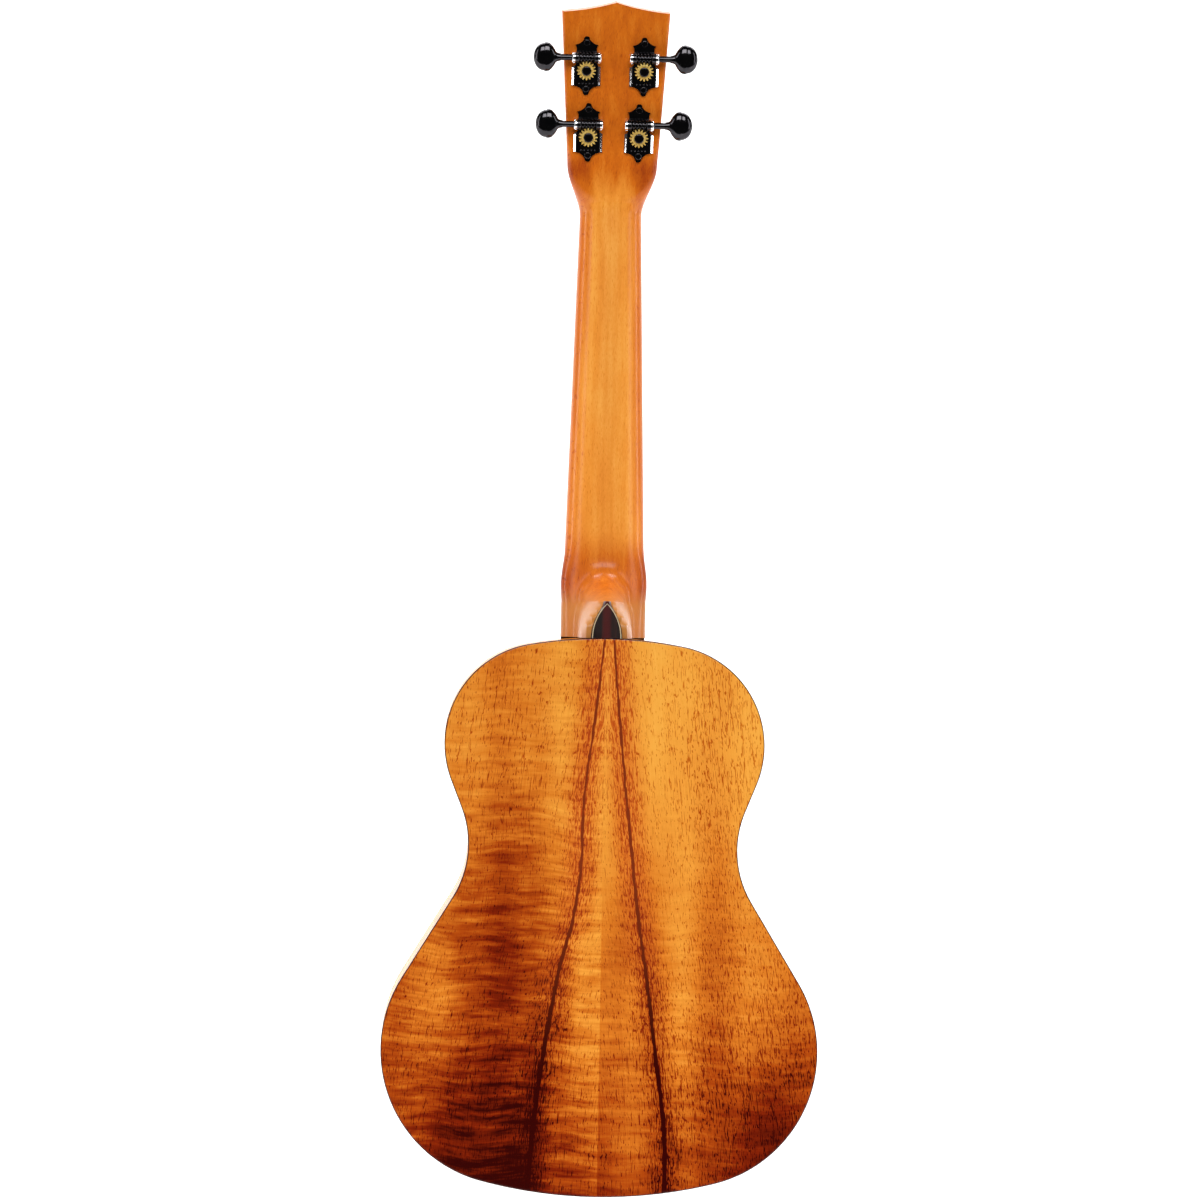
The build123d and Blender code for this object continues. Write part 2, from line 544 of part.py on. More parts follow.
SCREW_HEAD_RADIUS, SCREW_HEAD_HEIGHT, SCREW_HEAD_ROUND = 1.9, 1.0, 0.6
SCREW_SHANK_RADIUS, SCREW_DEPTH = 0.9, 5.0
SLOT_WIDTH, SLOT_DEPTH = 0.5, 0.4
SLEEVE = 0.5                               # wall of the bushing in the post's hole
POST_HOLE_RADIUS = POST_RADIUS + SLEEVE
HEAD_DEPTH = HEAD_THICKNESS + VENEER


def on_head(name):
    """Places a shape made about a tuner's post on the headstock's back."""
    across, up, _ = TUNER_PLACES[name]
    return HEAD_BACK * Pos(across, up, 0)


def post_holes(radius):
    """The four holes for the string posts, right through the headstock."""
    holes = [on_head(name) * Cylinder(radius, 3 * HEAD_DEPTH) for name in TUNER_PLACES]
    return Compound(children=holes)


def screw_holes():
    """Pilot holes that the plates' mounting screws fill."""
    hole = rod(SCREW_SHANK_RADIUS, -SCREW_DEPTH, 0)
    places = [on_head(name) * Pos(0, v, 0) for name in TUNER_PLACES for v in SCREW_PLACES]
    return Compound(children=[place * hole for place in places])


def plate_outline():
    """Outline of the stamped plate: a pagoda roof above the worm and a pointed foot."""
    right = [
        ThreePointArc((0, -13.9), (1.25, -13.4), (1.7, -12.3)),
        ThreePointArc((1.7, -12.3), (3.6, -9.9), (6.3, -8.9)),
        Polyline((6.3, -8.9), (8.0, -8.7), (8.0, 1.7), (6.4, 2.4), (5.6, 4.0), (5.6, 12.3)),
        ThreePointArc((5.6, 12.3), (5.8, 13.1), (6.4, 13.9)),
        ThreePointArc((6.4, 13.9), (3.6, 15.0), (1.6, 17.0)),
        ThreePointArc((1.6, 17.0), (1.2, 18.2), (0, 18.6)),
    ]
    edges = [edge for wire in right for edge in wire.edges()]
    return edges + [edge.mirror(Plane.YZ) for edge in edges]


def tuner_plate(side):
    """Plate with its bent side rails, the two ears that carry the worm and a row of beads."""
    plate = extrude(make_face(plate_outline()), PLATE_THICKNESS)
    for hand in (-1, 1):
        plate += side_rail() if hand > 0 else side_rail().mirror(Plane.YZ)
        plate += worm_ear(hand * (EAR_START + HOUSING_HALF) / 2)
    open_end = HOUSING_HALF + 1
    low, high = (-BLIND_BORE_END, open_end) if side > 0 else (-open_end, BLIND_BORE_END)
    plate -= Pos(0, WORM_TO_POST, WORM_HEIGHT) * rod(BORE_RADIUS, low, high, (0, 90, 0))
    plate -= Cylinder(POST_RADIUS + RUNNING_GAP, 3 * PLATE_THICKNESS)
    for v in SCREW_PLACES:
        plate -= Pos(0, v, 0) * Cylinder(SCREW_SHANK_RADIUS, 3 * PLATE_THICKNESS)
    for place in range(-2, 3):
        plate += Pos(place * BEAD_SPACING, BEAD_ROW, PLATE_THICKNESS) * Sphere(BEAD_RADIUS)
    return plate


def side_rail():
    """Bent-up edge on the plate's +X side."""
    rail = block((RAIL_INNER, RAIL_OUTER), RAIL_SPAN, (PLATE_THICKNESS / 2, RAIL_HEIGHT))
    top_edges = rail.edges().filter_by(Axis.Y).group_by(Axis.Z)[-1]
    return chamfer(top_edges.sort_by(Axis.X)[-1], RAIL_BEVEL)


def worm_ear(middle):
    """Round barrel for one of the worm's journals, on a foot that joins it to the plate."""
    width = HOUSING_HALF - EAR_START
    barrel = Pos(middle, WORM_TO_POST, WORM_HEIGHT) * Rot(0, 90, 0) * Cylinder(EAR_RADIUS, width)
    foot_size = (width - EAR_FOOT_INSET, EAR_FOOT_WIDTH, WORM_HEIGHT)
    return fillet(barrel.edges(), EAR_ROUND) + Pos(middle, WORM_TO_POST, WORM_HEIGHT / 2) * Box(*foot_size)


def slotted_head(radius, base, height, rounding, slot_width, slot_depth):
    """Round screw head with a straight slot across its top."""
    head = rod(radius, base, base + height)
    head = fillet(head.edges().sort_by(Axis.Z)[-1], rounding)
    return head - Pos(0, 0, base + height) * Box(3 * radius, slot_width, 2 * slot_depth)


def mounting_screw():
    """Small screw that holds a plate to the headstock."""
    size = (SCREW_HEAD_RADIUS, PLATE_THICKNESS, SCREW_HEAD_HEIGHT, SCREW_HEAD_ROUND)
    shank = rod(SCREW_SHANK_RADIUS, -SCREW_DEPTH, PLATE_THICKNESS)
    return slotted_head(*size, SLOT_WIDTH, SLOT_DEPTH) + shank


def worm_section():
    """Section across the single-start thread: its crest points along +X."""
    half_pitch = WORM_LEAD / 2
    tip, root = WORM_PITCH_RADIUS + GEAR_MODULE, WORM_PITCH_RADIUS - 1.2 * GEAR_MODULE
    slope = tan(PRESSURE_ANGLE)
    crest = half_pitch / 2 - GEAR_MODULE * slope
    base = crest + (tip - root) * slope
    crest_angle, base_angle = 2 * pi * crest / WORM_LEAD, 2 * pi * base / WORM_LEAD

    def at(radius, angle):
        return Vector(radius * cos(angle), radius * sin(angle))

    shares = (0, 0.25, 0.5, 0.75, 1)
    flank = [at(tip + (root - tip) * k, crest_angle + (base_angle - crest_angle) * k) for k in shares]
    other = [Vector(p.X, -p.Y) for p in flank]
    outer = ThreePointArc(flank[0], at(tip, 0), other[0])
    inner = ThreePointArc(flank[-1], at(root, pi), other[-1])
    return Face(Wire([outer, Spline(*flank), inner, Spline(*other)]))


def worm_shaft(side):
    """Worm, its journals in both ears and the shaft that carries the knob, along +X outward."""
    turns = WORM_LENGTH / WORM_LEAD
    section = Rot(0, 0, -180 * turns) * worm_section()
    thread = Solid.extrude_linear_with_rotation(section, (0, 0, 0), (0, 0, WORM_LENGTH), 360 * turns)
    thread = Pos(0, 0, -WORM_LENGTH / 2) * thread
    axis = Plane((0, WORM_TO_POST, WORM_HEIGHT), x_dir=(0, 1, 0), z_dir=(1, 0, 0))
    low, high = -JOURNAL_END, KNOB_REACH + SHAFT_INTO_KNOB
    if side < 0:
        low, high = -high, -low
    journals = rod(SHAFT_RADIUS, low, -WORM_LENGTH / 2) + rod(SHAFT_RADIUS, WORM_LENGTH / 2, high)
    return axis * (thread + journals)


SHAFT_INTO_KNOB = 1.0                      # past the knob's middle
KNOB_NECK_LENGTH, KNOB_NECK_WALL = 2.4, 0.35
KNOB_THROAT = (6.15, 2.5)                  # distance from the knob's middle, and radius there
KNOB_SHOULDER = (3.6, 3.3)
KNOB_NECK_START = 3.0


def knob(side):
    """Oval metal knob with a flared neck that slides over the shaft."""
    half_out, half_up, half_thick = KNOB_HALF_SIZES
    oval = scale(Sphere(1), by=(half_out, half_up, half_thick))
    collar = (-half_out - KNOB_NECK_LENGTH, SHAFT_RADIUS + KNOB_NECK_WALL)
    throat, shoulder = (-KNOB_THROAT[0], KNOB_THROAT[1]), (-KNOB_SHOULDER[0], KNOB_SHOULDER[1])
    profile = [
        Line((-KNOB_NECK_START, 0), (collar[0], 0)),
        Line((collar[0], 0), collar),
        Spline(collar, throat, shoulder, tangents=((1, 0.1), (1, 0.2))),
        Line(shoulder, (-KNOB_NECK_START, 0)),
    ]
    neck = revolve(make_face(profile), Axis.X)
    shape = Pos(KNOB_REACH, 0, 0) * (oval + neck)
    shape -= rod(SHAFT_RADIUS, 0, KNOB_REACH + SHAFT_INTO_KNOB, (0, 90, 0))
    if side < 0:
        shape = shape.mirror(Plane.YZ)
    return Pos(0, WORM_TO_POST, WORM_HEIGHT) * shape


def gear_points(turn):
    """Corners of the toothed outline, turned by an angle: root, base circle, pitch circle and tip."""
    pitch = GEAR_PITCH_RADIUS
    base, tip, root = pitch * cos(PRESSURE_ANGLE), pitch + GEAR_MODULE, pitch - 1.25 * GEAR_MODULE

    def involute(radius):
        angle = sqrt((radius / base) ** 2 - 1)
        return angle - atan2(angle, 1)

    corners = []
    for radius in (root, base, pitch, tip):
        rolled = involute(max(radius, base))
        half = pi / (2 * GEAR_TEETH) + involute(pitch) - rolled - TOOTH_GAP / pitch
        corners.append((radius, half))
    points = []
    for tooth in range(GEAR_TEETH):
        middle = 2 * pi * tooth / GEAR_TEETH + turn
        for radius, half in corners:
            points.append((radius * cos(middle - half), radius * sin(middle - half)))
        for radius, half in reversed(corners):
            points.append((radius * cos(middle + half), radius * sin(middle + half)))
    return points


def gear_wheel():
    """Brass gear whose teeth lean to follow the worm's thread."""
    lean = atan2(WORM_LEAD, 2 * pi * WORM_PITCH_RADIUS)
    turn = GEAR_THICKNESS / 2 * tan(lean) / GEAR_PITCH_RADIUS
    low, high = [make_face(Polyline(*gear_points(angle), close=True)) for angle in (-turn, turn)]
    blank = loft([Pos(0, 0, GEAR_BASE) * low, Pos(0, 0, GEAR_TOP) * high], ruled=True)
    return blank - Pos(0, 0, WORM_HEIGHT) * Cylinder(POST_TIP_RADIUS, 2 * GEAR_THICKNESS)


GEAR_SCREW_HEAD_RADIUS, GEAR_SCREW_HEAD_HEIGHT, GEAR_SCREW_ROUND = 2.7, 1.5, 0.7
GEAR_SCREW_SLOT_WIDTH, GEAR_SCREW_SLOT_DEPTH = 0.8, 0.6
GEAR_SCREW_RADIUS, GEAR_SCREW_LENGTH = 1.0, 5.0


def gear_screw():
    """Screw that clamps the gear to the end of the string post."""
    size = (GEAR_SCREW_HEAD_RADIUS, GEAR_TOP, GEAR_SCREW_HEAD_HEIGHT, GEAR_SCREW_ROUND)
    head = slotted_head(*size, GEAR_SCREW_SLOT_WIDTH, GEAR_SCREW_SLOT_DEPTH)
    return head + rod(GEAR_SCREW_RADIUS, GEAR_TOP - GEAR_SCREW_LENGTH, GEAR_TOP)


WAIST_BELOW_COIL, WAIST_ABOVE_COIL = 2.6, 2.2
STRING_HOLE_RADIUS, STRING_HOLE_FROM_WAIST_END = 0.6, 0.8


def string_post():
    """Post from the gear through the headstock, with a waist and a cross hole for the string."""
    front = -HEAD_DEPTH
    waist_low = front - COIL_HEIGHT - WAIST_BELOW_COIL
    waist_high = front - COIL_HEIGHT + WAIST_ABOVE_COIL
    post = rod(POST_RADIUS, front - POST_HEIGHT, GEAR_BASE)
    post = fillet(post.edges().sort_by(Axis.Z)[0], 1.0)
    ring = rod(POST_RADIUS + 1, waist_low, waist_high) - rod(POST_WAIST_RADIUS, waist_low, waist_high)
    post = post - ring + rod(POST_TIP_RADIUS, GEAR_BASE, GEAR_TOP)
    post -= rod(GEAR_SCREW_RADIUS, GEAR_TOP - GEAR_SCREW_LENGTH, GEAR_TOP + 1)
    hole = Rot(0, 90, 0) * Cylinder(STRING_HOLE_RADIUS, 4 * POST_RADIUS)
    return post - Pos(0, 0, waist_low + STRING_HOLE_FROM_WAIST_END) * hole


def string_coil(name):
    """The turns of a string round its post's waist."""
    radius = STRING_RADII[name]
    half = COIL_TURNS * radius
    middle = -HEAD_DEPTH - COIL_HEIGHT
    outer = rod(POST_WAIST_RADIUS + 2 * radius, middle - half, middle + half)
    return fillet(outer.edges(), 0.9 * radius) - rod(POST_WAIST_RADIUS, middle - 2 * half, middle + 2 * half)


FLANGE_THICKNESS, FLANGE_ROUND = 1.2, 0.7
SLEEVE_LENGTH = 7.0


def bushing():
    """Front ferrule: a flange on the veneer and a sleeve in the post's hole."""
    front = -HEAD_DEPTH
    flange = rod(BUSHING_RADIUS, front - FLANGE_THICKNESS, front)
    flange = fillet(flange.edges().sort_by(Axis.Z)[0], FLANGE_ROUND)
    bore = rod(POST_RADIUS + RUNNING_GAP, front - 2 * FLANGE_THICKNESS, front + SLEEVE_LENGTH + 1)
    return flange + rod(POST_HOLE_RADIUS, front, front + SLEEVE_LENGTH) - bore


def make_tuners():
    shapes = {side: (tuner_plate(side), worm_shaft(side), knob(side)) for side in (-1, 1)}
    gear, screw, post = Rot(0, 0, 90) * gear_wheel(), gear_screw(), string_post()
    for name, (_, _, side) in TUNER_PLACES.items():
        place = on_head(name)
        plate, worm, handle = shapes[side]
        parts["tuner_plate_" + name] = place * plate
        parts["worm_shaft_" + name] = place * worm
        parts["knob_" + name] = place * handle
        parts["gear_" + name] = place * gear
        parts["gear_screw_" + name] = place * screw
        parts["string_post_" + name] = place * post
        parts["string_coil_" + name] = place * string_coil(name)
    parts["post_bushings"] = [on_head(name) * bushing() for name in TUNER_PLACES]
    screws = [on_head(name) * Pos(0, v, 0) * mounting_screw() for name in TUNER_PLACES for v in SCREW_PLACES]
    parts["tuner_mounting_screws"] = screws


# ---- Strings -----------------------------------------------------------------------------
TIE_TAIL, TIE_LEAD = 0.8, 0.5              # string past the tie block behind, and before it bends up
COIL_GAP = 0.2                             # between a string's end and the coil on the turning post


def straight_string(radius, start, end):
    """A taut length of string with a round end at its start."""
    run = end - start
    length = Plane(start, z_dir=run) * Pos(0, 0, run.length / 2) * Cylinder(radius, run.length)
    return length + Pos(start) * Sphere(radius)


def string_path(name):
    """Corner points of a string: tie block, saddle, both edges of the nut and the post's coil."""
    place, radius = STRING_PLACES[name], STRING_RADII[name]
    across, up, side = TUNER_PLACES[name]
    at_saddle, at_nut = place * SADDLE_SPACING, place * NUT_SPACING
    tie = Vector(at_saddle, TIE_HOLE_HEIGHT, BRIDGE_REAR_Z - TIE_TAIL)
    tie_front = Vector(at_saddle, TIE_HOLE_HEIGHT, CHANNEL_Z[0] + TIE_LEAD)
    saddle = Vector(at_saddle, STRING_BASE_AT_SADDLE + radius, SADDLE_Z)
    nut = Vector(at_nut, STRING_BASE_AT_NUT + radius, NUT_LENGTH / 2)
    tangent = across - side * (POST_WAIST_RADIUS + radius)
    touch = HEAD_START + Vector(tangent, 0, 0) + HEAD_UP * up + HEAD_OUT * COIL_HEIGHT
    clear = sqrt((POST_WAIST_RADIUS + 2 * radius + COIL_GAP) ** 2 - POST_WAIST_RADIUS**2)
    end = touch + (nut - touch).normalized() * clear
    return [tie, tie_front, saddle, nut, end]


def make_strings():
    for name, radius in STRING_RADII.items():
        points = string_path(name)
        runs = [straight_string(radius, start, end) for start, end in zip(points, points[1:])]
        string = runs[0]
        for run in runs[1:]:
            string = string + run
        parts["string_" + name] = string
        for holder in ("nut", "saddle", "bridge"):
            parts[holder] = parts[holder] - string


# ---- Assembly ----------------------------------------------------------------------------
make_back()
parts["soundboard"] = make_soundboard()
make_sides()
make_blocks_and_linings()
inside_linings = body_prism(SIDE_THICKNESS + LINING_WIDTH + BRACE_GAP, 0, WELL_PAST_BACK)
make_soundboard_braces(inside_linings)
make_back_braces(inside_linings)
make_neck()
make_fretboard()
make_nut_and_saddle()
make_bridge()
make_tuners()
make_strings()

os.makedirs("parts", exist_ok=True)
for name, shape in parts.items():
    if isinstance(shape, list):
        shape = Compound(children=shape)
    export_step(shape, f"parts/{name}.step")
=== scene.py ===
from math import cos, pi, radians, sin, sqrt, tan

import bmesh
import bpy
from mathutils import Matrix, Vector


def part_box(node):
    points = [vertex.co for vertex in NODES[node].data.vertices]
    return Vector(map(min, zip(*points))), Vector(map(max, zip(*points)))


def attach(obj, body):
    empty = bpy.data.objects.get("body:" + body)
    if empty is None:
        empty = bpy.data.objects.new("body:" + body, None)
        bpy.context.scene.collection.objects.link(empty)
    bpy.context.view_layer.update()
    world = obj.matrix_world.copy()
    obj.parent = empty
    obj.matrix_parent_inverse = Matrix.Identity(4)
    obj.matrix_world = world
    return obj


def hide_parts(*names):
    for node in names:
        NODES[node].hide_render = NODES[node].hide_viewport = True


# The looks of a tenor ukulele. Lengths named here are in millimetres and MM turns them to metres.
# X runs across, +Y points out of the soundboard and +Z up the neck; the back faces -Y.

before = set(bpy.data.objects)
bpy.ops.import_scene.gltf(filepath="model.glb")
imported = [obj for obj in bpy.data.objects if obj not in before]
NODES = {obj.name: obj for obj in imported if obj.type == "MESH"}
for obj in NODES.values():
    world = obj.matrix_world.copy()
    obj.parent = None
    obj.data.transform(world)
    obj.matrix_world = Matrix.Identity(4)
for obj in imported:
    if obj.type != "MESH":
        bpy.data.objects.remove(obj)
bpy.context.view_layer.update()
MM = 0.001

# ---- Places that the CAD model settles ---------------------------------------------------
JOINT_Z, TAIL_Z = -239.455, -544.624
DEPTH_AT_NECK, DEPTH_AT_TAIL = 66.0, 74.0
NUT_LENGTH = 5.0
CAP_HALF, CAP_LENGTH, CAP_THICKNESS = 9.0, 20.0, 2.4
CAP_ARC_RADIUS = (CAP_HALF**2 + CAP_LENGTH**2) / (2 * CAP_HALF)
HEAD_TILT = radians(12.0)
HEAD_THICKNESS, VENEER = 12.0, 2.0
HEAD_DEPTH = HEAD_THICKNESS + VENEER
HEAD_OUT = Vector((0, cos(HEAD_TILT), sin(HEAD_TILT)))
HEAD_UP = Vector((0, -sin(HEAD_TILT), cos(HEAD_TILT)))
HEAD_START = Vector((0, 0, NUT_LENGTH))
HEAD_BACK_START = HEAD_START - HEAD_OUT * HEAD_DEPTH
TUNERS = {                    # name: (across, up the headstock, side that the knob is on)
    "g": (14.1, 38.3, 1),
    "c": (16.0, 75.3, 1),
    "e": (-16.0, 75.3, -1),
    "a": (-14.1, 38.3, -1),
}
WORM_TO_POST, WORM_HEIGHT = 7.2, 4.6
RAIL_INNER = 6.5              # from a plate's middle to the inner face of its side rails
KNOB_REACH = 23.2
POST_WAIST_RADIUS, COIL_HEIGHT, COIL_TURNS, COIL_STEPS = 2.3, 6.0, 3, 24
STRING_RADII = {"g": 0.33, "c": 0.45, "e": 0.37, "a": 0.31}
STRING_PLACES = {"g": 1.5, "c": 0.5, "e": -0.5, "a": -1.5}
NUT_SPACING, SADDLE_SPACING = 9.3, 14.0
STRING_BASE_AT_NUT, STRING_BASE_AT_SADDLE = 6.6, 10.6
SADDLE_Z, BRIDGE_REAR_Z = -433.8, -452.3
TIE_HOLE_HEIGHT, TIE_KNOT_REACH, TIE_TAIL = 5.6, 9.5, 0.8


# ---- Node materials ----------------------------------------------------------------------
class Shade:
    """A material's node tree with short ways to add the nodes that the finishes use."""

    def __init__(self, name):
        self.material = bpy.data.materials.new(name)
        self.material.use_nodes = True
        self.tree = self.material.node_tree
        self.tree.nodes.clear()
        self.output = self.add("ShaderNodeOutputMaterial")
        self.surface = self.add("ShaderNodeBsdfPrincipled")
        self.join(self.surface.outputs["BSDF"], self.output.inputs["Surface"])
        place = self.add("ShaderNodeTexCoord").outputs["Object"]
        scale = self.add("ShaderNodeVectorMath", operation="SCALE")
        scale.inputs["Scale"].default_value = 1 / MM
        self.join(place, scale.inputs[0])
        self.place = scale.outputs[0]
        self.x, self.y, self.z = self.split(self.place)

    def add(self, kind, **settings):
        node = self.tree.nodes.new(kind)
        for key, value in settings.items():
            setattr(node, key, value)
        return node

    def join(self, source, target):
        if isinstance(source, bpy.types.NodeSocket):
            self.tree.links.new(source, target)
        else:
            target.default_value = source

    def split(self, vector):
        node = self.add("ShaderNodeSeparateXYZ")
        self.join(vector, node.inputs[0])
        return node.outputs[0], node.outputs[1], node.outputs[2]

    def stretched(self, across, out, along):
        """The place in the object, with each direction at its own scale."""
        return self.vector(self.times(self.x, across), self.times(self.y, out), self.times(self.z, along))

    def centred(self, value, weight):
        """A noise value moved to lie about 0, times weight."""
        return self.times(self.math("SUBTRACT", value, 0.5), weight)

    def vector(self, x, y, z):
        node = self.add("ShaderNodeCombineXYZ")
        for source, target in zip((x, y, z), node.inputs):
            self.join(source, target)
        return node.outputs[0]

    def math(self, operation, *values, clamp=False):
        node = self.add("ShaderNodeMath", operation=operation, use_clamp=clamp)
        for value, target in zip(values, node.inputs):
            self.join(value, target)
        return node.outputs[0]

    def sum(self, *values):
        total = values[0]
        for value in values[1:]:
            total = self.math("ADD", total, value)
        return total

    def times(self, *values):
        product = values[0]
        for value in values[1:]:
            product = self.math("MULTIPLY", product, value)
        return product

    def fade(self, value, low, high, to_low=0.0, to_high=1.0):
        """Smooth step from to_low to to_high as value goes from low to high."""
        node = self.add("ShaderNodeMapRange", interpolation_type="SMOOTHSTEP")
        for source, target in zip((value, low, high, to_low, to_high), node.inputs):
            self.join(source, target)
        return node.outputs[0]

    def noise(self, vector, scale=1.0, detail=2.0, roughness=0.5, distortion=0.0):
        node = self.add("ShaderNodeTexNoise", noise_dimensions="3D")
        self.join(vector, node.inputs["Vector"])
        node.inputs["Scale"].default_value = scale
        node.inputs["Detail"].default_value = detail
        node.inputs["Roughness"].default_value = roughness
        node.inputs["Distortion"].default_value = distortion
        return node.outputs["Fac"]

    def ramp(self, value, stops, interpolation="LINEAR"):
        """Colour ramp from (position, sRGB colour) stops; a single number stands for a grey."""
        node = self.add("ShaderNodeValToRGB")
        node.color_ramp.interpolation = interpolation
        elements = node.color_ramp.elements
        while len(elements) < len(stops):
            elements.new(0.5)
        for element, (position, colour) in zip(elements, stops):
            element.position = position
            element.color = linear(colour) if isinstance(colour, tuple) else (colour, colour, colour, 1)
        self.join(value, node.inputs["Fac"])
        return node.outputs["Color"]

    def curve(self, value, low, high, points):
        """A smooth curve through (value, result) points, for value from low to high."""
        node = self.add("ShaderNodeFloatCurve")
        results = [result for _, result in points]
        base, span = min(results), max(results) - min(results)
        curve = node.mapping.curves[0]
        while len(curve.points) < len(points):
            curve.points.new(0.5, 0.5)
        for point, (position, result) in zip(curve.points, sorted(points)):
            point.location = ((position - low) / (high - low), (result - base) / span)
        node.mapping.update()
        share = self.math("DIVIDE", self.math("SUBTRACT", value, low), high - low, clamp=True)
        self.join(share, node.inputs["Value"])
        return self.math("MULTIPLY_ADD", node.outputs[0], span, base)

    def mix(self, factor, first, second):
        node = self.add("ShaderNodeMix", data_type="RGBA", blend_type="MIX")
        self.join(factor, node.inputs["Factor"])
        self.join(linear(first) if isinstance(first, tuple) else first, node.inputs["A"])
        self.join(linear(second) if isinstance(second, tuple) else second, node.inputs["B"])
        return node.outputs["Result"]

    def bump(self, height, distance, strength=1.0):
        node = self.add("ShaderNodeBump")
        node.inputs["Strength"].default_value = strength
        node.inputs["Distance"].default_value = distance * MM
        self.join(height, node.inputs["Height"])
        self.join(node.outputs[0], self.surface.inputs["Normal"])

    def set(self, **values):
        """Sets sockets of the surface: base_color becomes Base Color, and so on."""
        for key, value in values.items():
            words = [word.upper() if word == "ior" else word.capitalize() for word in key.split("_")]
            socket = self.surface.inputs[" ".join(words)]
            self.join(linear(value) if isinstance(value, tuple) else value, socket)


def linear(colour):
    """sRGB 0-255 to the linear colour with alpha that a socket takes."""
    shares = [part / 255 for part in colour]
    return tuple(s / 12.92 if s <= 0.04045 else ((s + 0.055) / 1.055) ** 2.4 for s in shares) + (1.0,)


# ---- Woods -------------------------------------------------------------------------------
KOA_STOPS = [
    (0.0, (252, 190, 84)),
    (0.22, (238, 160, 60)),
    (0.42, (214, 120, 34)),
    (0.62, (174, 72, 13)),
    (0.8, (126, 32, 5)),
    (1.0, (52, 4, 2)),
]


def koa_height(shade):
    """Height above the tail."""
    return shade.math("SUBTRACT", shade.z, TAIL_Z)


def pore_dashes(shade, across, along, threshold, width, length):
    """Short dark strokes along the grain: 0 on clear wood and up to 1 in a pore."""
    grain = shade.vector(shade.times(across, width), shade.times(shade.y, 0.2), shade.times(along, length))
    strokes = shade.noise(grain, detail=1.0, roughness=0.4)
    return shade.fade(strokes, threshold, shade.sum(threshold, 0.08))


def flame_stripes(shade, across, along, period=5.0, reach=34.0):
    """Curl across the grain: long horizontal stripes, about -1 to 1."""
    tilt = shade.noise(shade.vector(shade.times(across, 0.02), 0.0, shade.times(along, 0.012)), detail=1.0)
    bent = shade.sum(along, shade.centred(tilt, 12.0), shade.times(across, 0.04))
    wide = shade.vector(shade.times(across, 1 / reach), 0.0, shade.times(bent, 1 / period))
    narrow = shade.vector(shade.times(across, 2.6 / reach), 7.0, shade.times(bent, 2.7 / period))
    broad_stripe = shade.noise(wide, detail=1.0, roughness=0.45)
    fine_stripe = shade.noise(narrow, detail=2.0, roughness=0.5)
    both = shade.sum(shade.times(broad_stripe, 2.4), shade.times(fine_stripe, 1.8))
    return shade.math("SUBTRACT", both, 2.1)


def koa_finish(shade, colour, pores):
    """Gloss lacquer over the figure, with the pores just telegraphing through."""
    shade.set(base_color=colour, roughness=0.4, coat_weight=0.45, coat_roughness=0.05)
    shade.set(specular_ior_level=0.0)
    orange_peel = shade.noise(shade.place, scale=0.35, detail=2.0)
    relief = shade.sum(shade.times(pores, -0.6), shade.times(orange_peel, 0.25))
    shade.bump(relief, 0.05, strength=0.35)


BAND_HALF_SPAN = 125.0               # the band ramps run across the back from -125 to 125
STREAK_TOP = 306.0                   # height above the tail where the two streaks meet
LEFT_STREAK = [
    (0, 38), (32, 36), (75, 31), (115, 24.5), (180, 11.8), (215, 10.9), (254, 6.3), (305, 0.8),
]
RIGHT_STREAK = [
    (0, 36.8), (32, 36.3), (75, 31), (117, 25.5), (153, 20), (190, 15.6), (264, 7.7), (305, 4.2),
]
# Painted shade: the dark outline along the rounded rims of the back and the soundboard.
RIM_SHADE_COLOUR = (60, 22, 8)


def koa_bands(shade, across, height):
    """Broad darker bands along the grain, darkest near the tail."""
    place = shade.math("DIVIDE", shade.sum(across, BAND_HALF_SPAN), 2 * BAND_HALF_SPAN, clamp=True)
    tail_bands = shade.ramp(place, [
        (0.06, 0.70), (0.09, 0.72), (0.21, 0.94), (0.30, 0.96), (0.345, 0.86), (0.41, 0.68), (0.498, 0.50),
        (0.56, 0.50), (0.61, 0.54), (0.70, 0.60), (0.745, 0.68), (0.88, 0.88), (0.94, 0.80),
    ], "EASE")
    low_bands = shade.ramp(place, [
        (0.03, 0.56), (0.09, 0.52), (0.14, 0.48), (0.21, 0.66), (0.28, 0.78), (0.345, 0.66), (0.41, 0.52),
        (0.46, 0.36), (0.50, 0.34), (0.56, 0.40), (0.61, 0.50), (0.675, 0.33), (0.745, 0.52), (0.82, 0.38),
        (0.88, 0.42), (0.94, 0.50),
    ], "EASE")
    high_bands = shade.ramp(place, [
        (0.20, 0.34), (0.275, 0.46), (0.34, 0.40), (0.41, 0.27), (0.46, 0.36), (0.50, 0.20), (0.54, 0.30),
        (0.58, 0.25), (0.61, 0.16), (0.675, 0.20), (0.745, 0.26), (0.81, 0.17),
    ], "EASE")
    lower = shade.mix(shade.fade(height, 25.0, 110.0), tail_bands, low_bands)
    return shade.mix(shade.fade(height, 115.0, 265.0), lower, high_bands)


def by_half(shade, right, left_value, right_value):
    """left_value on the left half of the back, right_value on the right half."""
    return shade.sum(
        shade.times(left_value, shade.math("SUBTRACT", 1.0, right)),
        shade.times(right_value, right),
    )


